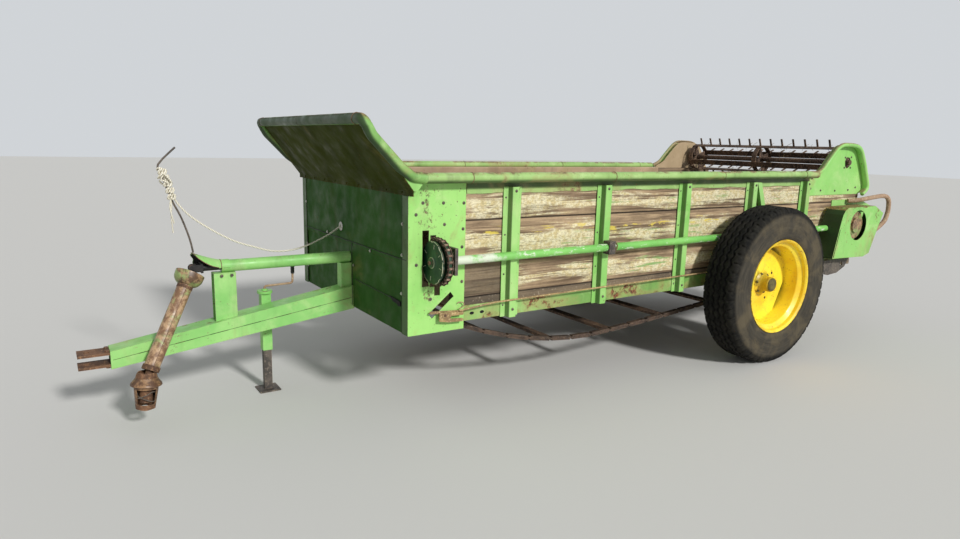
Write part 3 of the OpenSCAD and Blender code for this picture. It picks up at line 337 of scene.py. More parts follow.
def join(parts: Sequence[Part]) -> Part:
    """Several point and face lists as one."""
    points, faces, base = [], [], 0
    for p, f in parts:
        points.append(np.asarray(p, float).reshape(-1, 3))
        faces.extend([[int(k) + base for k in face] for face in f])
        base += len(points[-1])
    return np.concatenate(points), faces


def mirrored(part: Part) -> Part:
    """The same shape on the other side of the middle plane."""
    points, faces = part
    return np.asarray(points) * (1, -1, 1), [list(reversed(f)) for f in faces]


SIDES = (("left", lambda part: part), ("right", mirrored))


def both_sides(part: Part) -> Part:
    """A shape and its mirror image."""
    return join([part, mirrored(part)])


def wobble(points: Array, size: float, scale: float, seed: int = 0) -> Array:
    """Soft noise of a few sine waves at each point, between about -size and size."""
    rng = np.random.default_rng(SEED + seed)
    p = np.asarray(points, float)
    total = np.zeros(len(p))
    for k in range(5):
        wave = rng.normal(size=3) * scale * (1 + 0.6 * k)
        total += np.sin(p @ wave + rng.uniform(0, 6.28)) / (1 + k)
    return size * total / 2.0


# Fasteners

class Head(Enum):
    """Kinds of bolt head, as (radius factor, height factor) rings from the seat to the top."""

    ROUND = ((1.0, 0.0), (1.0, 0.18), (0.86, 0.55), (0.55, 0.86), (0.0, 1.0))
    HEX = ((1.0, 0.0), (1.0, 0.75), (0.88, 1.0), (0.0, 1.02))
    WASHER = ((1.35, 0.0), (1.35, 0.22), (0.98, 0.24), (0.98, 0.9), (0.85, 1.0), (0.0, 1.02))


def bolt_heads(places: Array, normals: Array, radius: float, height: float,
               kind: Head = Head.ROUND) -> Part:
    """Many bolt heads at once: one small turned shape set at each place along its normal.

    Args:
        places: centre of each head's seat.
        normals: outward direction of each head, or one for all.
        radius: radius of a head.
        height: height of a head.
        kind: the head's shape.
    """
    places = np.asarray(places, float).reshape(-1, 3)
    n = unit(np.broadcast_to(np.asarray(normals, float), places.shape))
    ref = np.where(np.abs(n[:, 2:]) > 0.9, [[1.0, 0, 0]], [[0, 0, 1.0]])
    u = unit(np.cross(ref, n))
    v = np.cross(n, u)
    sides = 6 if kind is Head.HEX else 10
    rings = np.asarray(kind.value, float)
    turn = np.random.default_rng(SEED).uniform(0, 6.28, len(places))
    t = turn[:, None] + full_turn(sides)[None]
    ring = np.cos(t)[..., None] * u[:, None] + np.sin(t)[..., None] * v[:, None]
    rr = np.maximum(rings[:, 0], 0.02) * radius
    sunk = rings[:, 1] * height - np.where(rings[:, 1] == 0, 0.0006, 0)
    points = (places[:, None, None] + rr[None, :, None, None] * ring[:, None]
              + sunk[None, :, None, None] * n[:, None, None])
    one = grid_faces(len(rings), sides, False, True)
    size = len(rings) * sides
    faces = []
    for k in range(len(places)):
        faces.extend((one + k * size).tolist())
        faces.append([k * size + j for j in range(sides)])
        faces.append([k * size + (len(rings) - 1) * sides + j for j in range(sides)])
    return points.reshape(-1, 3), faces


# Shading

def srgb(code: str) -> tuple[float, float, float, float]:
    """A hex colour as the linear values that a shader takes."""
    v = [int(code[k:k + 2], 16) / 255 for k in (0, 2, 4)]
    lin = [c / 12.92 if c <= 0.04045 else ((c + 0.055) / 1.055) ** 2.4 for c in v]
    return (*lin, 1.0)


class Shader:
    """Nodes of one material, put together by short methods.

    Args:
        name: the material's name.
        roughness: the surface's roughness, where no socket drives it.
        metallic: 1 for bare metal.
    """

    def __init__(self, name: str, roughness: float = 0.6, metallic: float = 0.0) -> None:
        self.material = bpy.data.materials.new(name)
        self.material.use_nodes = True
        self.tree = self.material.node_tree
        self.surface = self.tree.nodes["Principled BSDF"].inputs
        self.surface["Roughness"].default_value = roughness
        self.surface["Metallic"].default_value = metallic
        self.place = self.node("TexCoord").outputs["Object"]

    def feed(self, socket: Socket, value: object) -> None:
        """Links a socket to the input, or sets its value; a string is a hex colour."""
        if isinstance(value, Socket):
            self.tree.links.new(value, socket)
        elif value is not None:
            socket.default_value = srgb(value) if isinstance(value, str) else value

    def node(self, kind: str, inputs: dict | None = None, **values: object) -> bpy.types.Node:
        """A new node with its properties set and its inputs fed."""
        made = self.tree.nodes.new("ShaderNode" + kind)
        for key, value in values.items():
            setattr(made, key, value)
        for key, value in (inputs or {}).items():
            self.feed(made.inputs[key], value)
        return made

    def mapped(self, scale: Sequence[float]) -> Socket:
        """Object coordinates stretched."""
        return self.node("Mapping", {"Vector": self.place, "Scale": scale}).outputs["Vector"]

    def noise(self, scale: float, detail: float = 4, rough: float = 0.55, bend: float = 0.0,
              at: Socket | None = None) -> Socket:
        """Fractal noise, about 0.3 to 0.7."""
        return self.node("TexNoise", {"Vector": at or self.place, "Scale": scale, "Detail": detail,
                                      "Roughness": rough, "Distortion": bend}).outputs["Fac"]

    def level(self, value: Socket, low: float, high: float) -> Socket:
        """Smooth step from low to high."""
        return self.node("MapRange", {"Value": value, "From Min": low, "From Max": high},
                         interpolation_type="SMOOTHSTEP").outputs["Result"]

    def spots(self, low: float, high: float, *noise: object, at: Socket | None = None) -> Socket:
        """Fractal noise cut by a smooth step from low to high."""
        return self.level(self.noise(*noise, at=at), low, high)

    def math(self, op: str, *values: object) -> Socket:
        """One arithmetic step."""
        return self.node("Math", dict(enumerate(values)), operation=op).outputs[0]

    def chain(self, op: str, values: Sequence) -> Socket:
        """The same arithmetic step over two or more values."""
        total = values[0]
        for value in values[1:]:
            total = self.math(op, total, value)
        return total

    def times(self, *values: object) -> Socket:
        """Product."""
        return self.chain("MULTIPLY", values)

    def plus(self, *values: object) -> Socket:
        """Sum."""
        return self.chain("ADD", values)

    def most(self, *values: object) -> Socket:
        """Largest value."""
        return self.chain("MAXIMUM", values)

    def minus(self, a: object, b: object) -> Socket:
        """Difference."""
        return self.math("SUBTRACT", a, b)

    def mix(self, share: object, a: object, b: object) -> Socket:
        """Colour a turned into colour b by the share."""
        return self.node("Mix", {0: share, 6: a, 7: b}, data_type="RGBA").outputs[2]

    def axes(self) -> Sequence[Socket]:
        """X, Y and Z of the object coordinates."""
        return self.node("SeparateXYZ", {0: self.place}).outputs

    def normal(self) -> Socket:
        """The surface's own direction."""
        return self.node("NewGeometry").outputs["Normal"]

    def vector(self, x: object, y: object, z: object) -> Socket:
        """A vector of three values."""
        return self.node("CombineXYZ", {0: x, 1: y, 2: z}).outputs[0]

    def far_from(self, x: float, z: float) -> tuple[Socket, Socket, Socket]:
        """Distance from a line along Y, the root of dx * dx + dz * dz, with dx and dz."""
        axes = self.axes()
        dx, dz = self.minus(axes[0], x), self.minus(axes[2], z)
        return self.math("SQRT", self.plus(self.times(dx, dx), self.times(dz, dz))), dx, dz

    def edges(self, radius: float) -> Socket:
        """1 on edges that stand out: where a rounded normal leaves the true one."""
        bevel = self.node("Bevel", {"Radius": radius}, samples=4).outputs[0]
        dot = self.node("VectorMath", {0: bevel, 1: self.normal()}, operation="DOT_PRODUCT")
        return self.level(dot.outputs["Value"], 0.985, 0.86)

    def done(self, colour: object, roughness: object, height: object, bump: float,
             depth: float) -> bpy.types.Material:
        """Connects the surface.

        Args:
            colour: base colour, a socket or a value.
            roughness: a socket, or None to keep the uniform value.
            height: a socket for the bump.
            bump: strength of the bump.
            depth: distance of the bump in metres.

        Returns:
            The finished material.
        """
        self.feed(self.surface["Base Color"], colour)
        self.feed(self.surface["Roughness"], roughness)
        bumped = self.node("Bump", {"Strength": bump, "Distance": depth, "Height": height})
        self.feed(self.surface["Normal"], bumped.outputs["Normal"])
        return self.material


@dataclass(frozen=True)
class FieldPaint:
    """Sun-faded enamel: two tones, chalk, run-down grime, rust spots and worn edges, with optional
    painted shade on faces that look forward, and in a band of heights and on faces that look down.

    Args:
        sun, deep, pale, dirt: the tones, the chalk and the grime.
        chalk, grime, rust, wear: shares of each.
        rough, sheen: roughness and gloss.
        patches: noise level above which rust spreads; lower is rustier.
        top: rust on faces that look up.
        rust_light, rust_dark: the two browns of the rust.
        stains: ellipses (x, z, half width, half height) of specks.
        inner: share of tan on faces towards the middle plane.
        band: heights between which the paint is darkened as painted shadow; faces that look down then
            get painted shade too.
        front_shade, front_shade_from: share of painted shade on faces that look forward, and where it
            starts.
    """

    sun: str
    deep: str
    pale: str = "c3dc96"
    dirt: str = "4c4a2c"
    chalk: float = 0.45
    grime: float = 0.35
    rust: float = 0.5
    wear: float = 0.7
    rough: float = 0.48
    patches: float = 0.60
    top: float = 0.0
    rust_light: str = "8a5636"
    rust_dark: str = "4d2d1e"
    stains: tuple[tuple[float, float, float, float], ...] = ()
    inner: float = 0.0
    band: tuple[float, float] = (0.0, 0.0)
    front_shade: float = 0.0
    front_shade_from: float = 0.35
    sheen: float = 0.5

    def stained(self, s: Shader) -> Socket:
        """Specks that thin out from the middle of each ellipse on an upright side."""
        x, _, z = s.axes()
        thick = 0.0
        for x0, z0, rx, rz in self.stains:
            dx, dz = s.times(s.minus(x, x0), 1 / rx), s.times(s.minus(z, z0), 1 / rz)
            far = s.plus(s.times(dx, dx), s.times(dz, dz))
            thick = s.most(s.level(far, 1.8, 0.0), thick)
        limit = s.minus(0.72, s.times(thick, 0.21))
        grain = s.plus(s.times(s.noise(13, 7, 0.7), 0.6), s.times(s.noise(70, 6, 0.75), 0.4))
        return s.level(s.minus(grain, limit), -0.03, 0.05)

    def rusty(self, s: Shader, up: Socket) -> Socket:
        """Share of rust: patches, specks, worn edges, stains and upper faces."""
        area = s.spots(self.patches, self.patches + 0.10, 3.3, 6, 0.62, 0.6)
        specks = s.times(s.spots(0.63, 0.68, 64, 4, 0.6), s.spots(0.42, 0.60, 5.1, 3))
        share = s.times(s.most(s.times(area, s.spots(0.46, 0.56, 26, 8, 0.72)), specks), self.rust)
        worn = s.times(s.edges(0.004), s.spots(0.44, 0.54, 34, 5, 0.65), self.wear)
        share = s.most(share, worn)
        if self.stains:
            share = s.most(share, s.times(self.stained(s), 0.9))
        if self.top:
            least = 0.62 - 0.3 * self.top
            above = s.times(s.level(up, 0.35, 0.95), s.spots(least, least + 0.10, 7, 7, 0.68, 0.4))
            share = s.most(share, s.times(above, 0.9))
        return share

    def build(self, name: str) -> bpy.types.Material:
        """The paint's material."""
        s = Shader(name, self.rough)
        s.surface["Specular IOR Level"].default_value = self.sheen
        ahead, sideways, up = s.node("SeparateXYZ", {0: s.normal()}).outputs
        colour = s.mix(s.spots(0.38, 0.64, 1.9, 5, 0.6), self.sun, self.deep)
        chalk = s.times(s.spots(0.50, 0.68, 8, 8, 0.66, 0.5), self.chalk)
        colour = s.mix(chalk, colour, self.pale)
        runs = s.spots(0.52, 0.74, 1.0, 6, 0.62, at=s.mapped((9, 9, 1.3)))
        colour = s.mix(s.times(runs, self.grime), colour, self.dirt)
        rusty = self.rusty(s, up)
        _, y, z = s.axes()
        if self.inner:
            away = s.times(s.level(s.times(y, sideways), -0.30, -0.55), self.inner)
            colour = s.mix(away, colour, s.mix(s.noise(5, 6, 0.66), "8f7458", "d2b594"))
        # Painted shadow: the band of heights and the faces that look down are darkened towards a deep
        # green.
        if self.band[1]:
            low, high = self.band
            band_shadow = s.times(s.level(z, low - 0.006, low + 0.006), s.level(z, high + 0.004, high))
            band_shadow = s.most(band_shadow, s.level(up, -0.10, -0.75))
            colour = s.mix(s.times(band_shadow, 0.78), colour, "16300a")
        brown = s.mix(s.spots(0.4, 0.6, 90, 4), self.rust_light, self.rust_dark)
        halo = s.times(s.spots(self.patches - 0.07, self.patches + 0.06, 3.3, 6, 0.62, 0.6),
                       0.5 * min(1.0, self.rust))
        colour = s.mix(rusty, s.mix(halo, colour, "a99a62"), brown)
        # Painted shade: faces that look forward are darkened towards a deep green.
        if self.front_shade:
            front = s.times(s.level(ahead, self.front_shade_from, self.front_shade_from + 0.45), self.front_shade)
            colour = s.mix(front, colour, "182c10")
        rough = s.plus(s.times(rusty, 0.35), s.times(s.noise(11, 4), self.rough * 2))
        height = s.minus(s.times(s.noise(120, 3), 0.25), rusty)
        return s.done(colour, rough, height, 0.35, 0.0012)


@dataclass(frozen=True)
class RustSteel:
    """Bare steel under rust: flaking browns with a few brighter rubs."""

    dark: str
    mid: str
    light: str
    scale: float = 1.0
    rough: float = 0.78
    bright: float = 0.25

    def build(self, name: str) -> bpy.types.Material:
        """The rust's material."""
        s = Shader(name, self.rough)
        k = self.scale
        colour = s.mix(s.spots(0.40, 0.62, 9 * k, 7, 0.65, 0.4), self.dark, self.mid)
        fine = s.spots(0.50, 0.66, 70 * k, 6, 0.7)
        colour = s.mix(s.times(fine, 0.75), colour, self.light)
        colour = s.mix(s.times(s.edges(0.004), self.bright), colour, "b39a80")
        height = s.plus(s.times(s.noise(26 * k, 6, 0.7), 0.7), s.times(fine, 0.4))
        return s.done(colour, None, height, 0.5, 0.0012)


@dataclass(frozen=True)
class WornShield:
    """Green paint rubbed through to brown rust, with a few bare bright strokes."""

    paint: str
    dark_paint: str
    cover: float
    rust_dark: str = "7c5c42"
    rust_light: str = "bb9a76"

    def build(self, name: str) -> bpy.types.Material:
        """The shield's material."""
        s = Shader(name, 0.5)
        rust = s.mix(s.spots(0.42, 0.6, 30, 7, 0.7), self.rust_dark, self.rust_light)
        green = s.mix(s.spots(0.4, 0.6, 12, 5), self.paint, self.dark_paint)
        mask = s.spots(1.00 - self.cover, 1.14 - self.cover, 15, 8, 0.74, 0.5)
        colour = s.mix(s.times(mask, 0.85), rust, green)
        colour = s.mix(s.times(s.spots(0.60, 0.66, 14, 8, 0.75), 0.6), colour, "d2bd98")
        return s.done(colour, s.times(s.noise(18, 5), 0.95), s.noise(60, 6, 0.7), 0.3, 0.001)


@dataclass(frozen=True)
class BoardWood:
    """Weathered side boards: grain along X, cream bands of old paint, green and yellow remnants.

    The rows of boards are read from the height, so each board has its own grain and band.
    """

    bare: str = "b59a78"
    dark: str = "68543f"
    cream: str = "f4ecc6"

    def build(self, name: str) -> bpy.types.Material:
        """The boards' material."""
        s = Shader(name, 0.82)
        x, y, z = s.axes()
        row = s.math("DIVIDE", s.minus(z, LAY.sill_z + LAY.sheet + LAY.low_board_h), LAY.board_h)
        number, v = s.math("FLOOR", row), s.math("FRACT", row)
        along = s.plus(x, s.times(number, 5.3))

        def streaks(detail: float, rough: float, bend: float, run: float, across: object,
                    rise: float) -> Socket:
            """Noise drawn out along the board, by its scale along, across and upwards."""
            return s.noise(1.0, detail, rough, bend,
                           s.vector(s.times(along, run), across, s.times(z, rise)))

        # Bare wood
        grain = streaks(9, 0.64, 0.7, 1.5, s.times(y, 4.0), 46.0)
        rings = s.level(s.math("SINE", s.times(streaks(3, 0.5, 0.5, 0.95, 0.0, 6.5), 64.0)), -0.6, 0.9)
        wood = s.mix(s.level(grain, 0.38, 0.58), self.dark, self.bare)
        wood = s.mix(s.times(rings, 0.40), wood, self.dark)
        wood = s.mix(s.times(s.spots(0.50, 0.68, 3.0, 5), 0.5), wood, "c2a684")
        # Where paint is left: the middle of a board, by clouds, grain and bays
        bay = s.noise(1.0, 2, 0.5, 0.0, s.vector(s.times(along, 1.3), 3.0, s.times(number, 3.1)))
        middle = s.minus(1.0, s.math("ABSOLUTE", s.times(s.minus(v, 0.38), 2.0)))
        cloud = streaks(7, 0.68, 0.6, 1.6, 0.0, 11.0)
        wear = s.plus(s.times(middle, 0.70), s.plus(s.times(s.minus(cloud, 0.5), 2.2),
                                                    s.times(s.minus(grain, 0.5), 1.6)))
        wear = s.plus(wear, s.times(s.minus(bay, 0.42), 1.2))
        first_post = LAY.x(LAY.posts[0])
        shaded = s.times(s.level(x, first_post, first_post + 0.02), s.math("LESS_THAN", number, 0.5))
        upper = s.times(s.math("GREATER_THAN", row, 0.0), s.minus(1.0, s.times(shaded, 0.85)))
        pits = s.level(streaks(5, 0.7, 0.0, 55.0, s.times(y, 60.0), 150.0), 0.36, 0.56)
        outer = s.level(s.math("ABSOLUTE", y), LAY.side_y - 0.012, LAY.side_y - 0.007)
        mask = s.times(s.level(wear, 0.36, 0.66), upper, outer)
        cream = s.mix(s.spots(0.42, 0.62, 40, 5, 0.7), self.cream, "dccb94")
        colour = s.mix(s.times(mask, s.plus(0.48, s.times(pits, 0.34))), wood, cream)
        # Pits, inner faces and the shaded low board
        colour = s.mix(s.times(s.minus(1.0, pits), 0.20), colour, "5c4b38")
        colour = s.mix(s.times(s.minus(1.0, outer), 0.45), colour, "6e5c46")
        colour = s.mix(s.times(shaded, 0.60), colour, "463c30")
        # Green and yellow remnants
        green = s.times(s.level(streaks(6, 0.66, 0.3, 3.0, 0.0, 60.0), 0.55, 0.62),
                        s.level(wear, 0.28, 0.46), upper, outer, s.spots(0.44, 0.56, 2.1, 3))
        colour = s.mix(s.times(green, 0.85), colour, "79a45a")
        second = s.math("COMPARE", number, 1.0, 0.2)
        yellow = s.times(s.level(streaks(5, 0.7, 0.2, 5.0, 0.0, 26.0), 0.575, 0.615), second,
                         s.level(v, 0.36, 0.50), s.level(v, 0.86, 0.70), outer)
        colour = s.mix(s.times(yellow, 0.8), colour, "dfc750")
        # The bottom board, knots, and painted shadow along the joints
        low = s.math("LESS_THAN", row, 0.0)
        colour = s.mix(s.times(low, 0.65), colour, "554c3f")
        colour = s.mix(s.times(low, s.spots(0.60, 0.66, 90, 3), 0.5), colour, "a99c86")
        spot = s.vector(s.times(along, 2.3), 0.0, s.times(z, 9.0))
        cells = s.node("TexVoronoi", {"Vector": spot, "Scale": 1.0}).outputs["Distance"]
        colour = s.mix(s.times(s.level(cells, 0.085, 0.045), 0.85), colour, "2a1f18")
        # Painted shadow: darker along each board's upper and lower edge, at the joints.
        joint = s.level(s.math("ABSOLUTE", s.minus(v, 0.5)), 0.455, 0.495)
        colour = s.mix(s.times(joint, 0.75), colour, "2e241d")
        height = s.plus(grain, s.plus(s.times(rings, 0.12), s.times(mask, 0.25)))
        return s.done(colour, None, height, 0.75, 0.0028)


@dataclass(frozen=True)
class FloorWood:
    """Stained floor planks with the grain along X."""

    light: str = "6d5a46"
    dark: str = "33271d"

    def build(self, name: str) -> bpy.types.Material:
        """The floor's material."""
        s = Shader(name, 0.9)
        grain = s.noise(1.0, 8, 0.66, 0.6, s.mapped((1.6, 30, 12)))
        colour = s.mix(s.level(grain, 0.4, 0.62), self.dark, self.light)
        colour = s.mix(s.times(s.spots(0.42, 0.6, 2.4, 5), 0.5), colour, "2b221a")
        return s.done(colour, None, grain, 0.6, 0.002)


@dataclass(frozen=True)
class WheelEnamel:
    """Bright wheel enamel with grease round the hub, dust and a few chips.

    Grease follows the distance from the axle's line, which runs along Y.
    """

    sun: str = "ffe63c"
    deep: str = "f2c626"

    def build(self, name: str) -> bpy.types.Material:
        """The enamel's material."""
        s = Shader(name, 0.36)
        far = s.far_from(WHEEL_X, WHEEL_Z)[0]
        colour = s.mix(s.spots(0.4, 0.62, 3, 4), self.sun, self.deep)
        colour = s.mix(s.times(s.spots(0.50, 0.66, 16, 7, 0.68), 0.35), colour, "d8b548")
        reach = s.plus(far, s.times(s.minus(s.noise(14, 6, 0.6, 1.0), 0.5), 0.16))
        colour = s.mix(s.times(s.level(reach, 0.090, 0.056), 0.62), colour, "6a5c24")
        chips = s.times(s.spots(0.60, 0.64, 46, 6, 0.7), s.spots(0.46, 0.6, 4, 3))
        rims = s.times(s.level(far, 0.284, 0.298), s.spots(0.50, 0.60, 22, 6, 0.7), 0.6)
        worn = s.most(s.times(chips, 0.8), rims)
        colour = s.mix(worn, colour, "8d5a2a")
        rough = s.plus(s.times(worn, 0.3), s.times(s.noise(12, 3), 0.72))
        return s.done(colour, rough, s.noise(90, 4), 0.12, 0.001)


@dataclass(frozen=True)
class TyreRubber:
    """Aged rubber: dark tread, brown-grey dusty sidewall with fine scuffs round the axle."""

    tread: tuple[str, str] = ("131312", "252420")
    side: tuple[str, str] = ("393630", "4e493f")

    def build(self, name: str) -> bpy.types.Material:
        """The rubber's material."""
        s = Shader(name, 0.86)
        s.surface["Specular IOR Level"].default_value = 0.15
        far, dx, dz = s.far_from(WHEEL_X, WHEEL_Z)
        turn = s.times(s.math("ARCTAN2", dz, dx), 2.6)
        scuff = s.noise(1.0, 7, 0.66, 0.2, s.vector(turn, s.times(far, 52.0), s.axes()[1]))
        dust = s.spots(0.42, 0.64, 7, 7, 0.66, 0.5)
        side = s.mix(s.level(scuff, 0.30, 0.75), *self.side)
        side = s.mix(s.times(dust, 0.5), side, "6b604a")
        tread = s.mix(s.spots(0.42, 0.64, 40, 6, 0.7), *self.tread)
        tread = s.mix(s.times(dust, 0.16), tread, "4a453a")
        colour = s.mix(s.level(far, TYRE_R - 0.028, TYRE_R - 0.060), tread, side)
        height = s.plus(s.times(s.noise(140, 5, 0.7), 0.5), s.times(scuff, 0.6))
        return s.done(colour, None, height, 0.35, 0.0012)


@dataclass(frozen=True)
class RopeFibre:
    """Twisted rope: strands cross the piece's own map at a slant."""

    light: str = "f4efdf"
    dark: str = "c6bda4"

    def build(self, name: str) -> bpy.types.Material:
        """The rope's material."""
        s = Shader(name, 0.9)
        lay = s.node("UVMap", uv_map="lay").outputs[0]
        run, share, _ = s.node("SeparateXYZ", {0: lay}).outputs
        twist = s.plus(run, s.times(share, 3.0))
        strand = s.level(s.math("SINE", s.times(twist, 2 * math.pi)), -0.9, 0.5)
        colour = s.mix(strand, self.dark, self.light)
        colour = s.mix(s.times(s.spots(0.50, 0.70, 9, 5), 0.30), colour, "a8a28c")
        return s.done(colour, None, s.plus(strand, s.times(s.noise(500, 4, 0.7), 0.4)), 0.7, 0.0015)


@dataclass(frozen=True)
class PlainFinish:
    """A finish of two near tones with fine grain, for small dark or bare pieces."""

    first: str
    second: str
    rough: float = 0.6
    metallic: float = 0.0
    scale: float = 20.0

    def build(self, name: str) -> bpy.types.Material:
        """The finish's material."""
        s = Shader(name, self.rough, self.metallic)
        colour = s.mix(s.spots(0.40, 0.62, self.scale, 6, 0.66, 0.3), self.first, self.second)
        return s.done(colour, None, s.noise(self.scale * 5, 5, 0.7), 0.3, 0.0008)


@dataclass(frozen=True)
class PipePaint:
    """The side pipe's green; primer shows in front of worn_x and fades out behind it."""

    worn_x: float

    def build(self, name: str) -> bpy.types.Material:
        """The pipe's material."""
        s = Shader(name, 0.42)
        green = s.mix(s.spots(0.4, 0.62, 2.4, 5), "86cb66", "6bb552")
        edge = s.plus(s.axes()[0], s.times(s.minus(s.noise(9, 7, 0.7), 0.5), 1.5))
        bare = s.level(edge, self.worn_x - 0.16, self.worn_x + 0.10)
        flecks = s.times(s.spots(0.56, 0.60, 34, 7, 0.72, 0.2, at=s.mapped((0.35, 1, 1))),
                         s.spots(0.36, 0.60, 1.3, 3))
        colour = s.mix(s.most(s.times(bare, 0.85), flecks), green, "e4e6d6")
        colour = s.mix(s.times(s.spots(0.61, 0.66, 20, 7, 0.7), 0.6), colour, "87583a")
        return s.done(colour, None, s.noise(80, 5), 0.2, 0.001)


class Finish(Enum):
    """Named finishes of the machine, each with its material's name and the record's slot."""

    SUN_GREEN = ("sun_green", "green_paint")
    RAIL_GREEN = ("rail_green", "green_paint")
    FRONT_GREEN = ("front_green_shade", "green_paint")
    PANEL_GREEN = ("panel_green", "green_paint")
    SILL_GREEN = ("sill_green", "green_paint")
    TONGUE_GREEN = ("tongue_green", "green_paint")
    CASE_GREEN = ("case_green", "green_paint")
    PIPE_GREEN = ("pipe_green", "green_paint")
    EAR_GREEN = ("ear_green", "green_paint")
    TUBE_GREEN = ("tube_green", "green_paint")
    INNER_TAN = ("inner_tan", "green_paint")
    DEEP_GREEN = ("deep_green", "dark_green_paint")
    SHADED_UNDER_GREEN = ("under_green_shade", "dark_green_paint")
    DRIVE_GREEN = ("drive_green_shade", "dark_green_paint")
    BOARDS = ("board_wood", "boards")
    FLOOR = ("floor_planks", "floor_wood")
    DARK_RUST = ("dark_rust", "rusty_steel")
    BROWN_RUST = ("brown_rust", "rusty_steel")
    PALE_RUST = ("pale_rust", "rusty_steel")
    CHAIN_RUST = ("chain_rust", "rusty_steel")
    TAN_ROD = ("tan_rod", "rusty_steel")
    BLACK = ("black_steel", "rusty_steel")
    HOLE_SHADE = ("painted_hole_shade", "rusty_steel")
    PEG = ("peg_rust_and_glint", "rusty_steel")
    STRAW = ("straw", "rusty_steel")
    DRUM = ("worn_drum", "rusty_steel")
    IRON = ("worn_iron", "worn_steel")
    BRIGHT = ("bright_steel", "worn_steel")
    PALE_WEAR = ("pale_wear", "worn_steel")
    YELLOW = ("wheel_yellow", "yellow_paint")
    GREASE = ("grease", "yellow_paint")
    RUBBER = ("tyre_rubber", "tyre")
    SHIELD = ("worn_shield", "shield_paint")
    BELL = ("worn_bell", "shield_paint")
    GRIP = ("crank_grip", "grip")
    ROPE = ("rope_fibre", "rope")

    @property
    def slot(self) -> str:
        """The record's material slot."""
        return self.value[1]


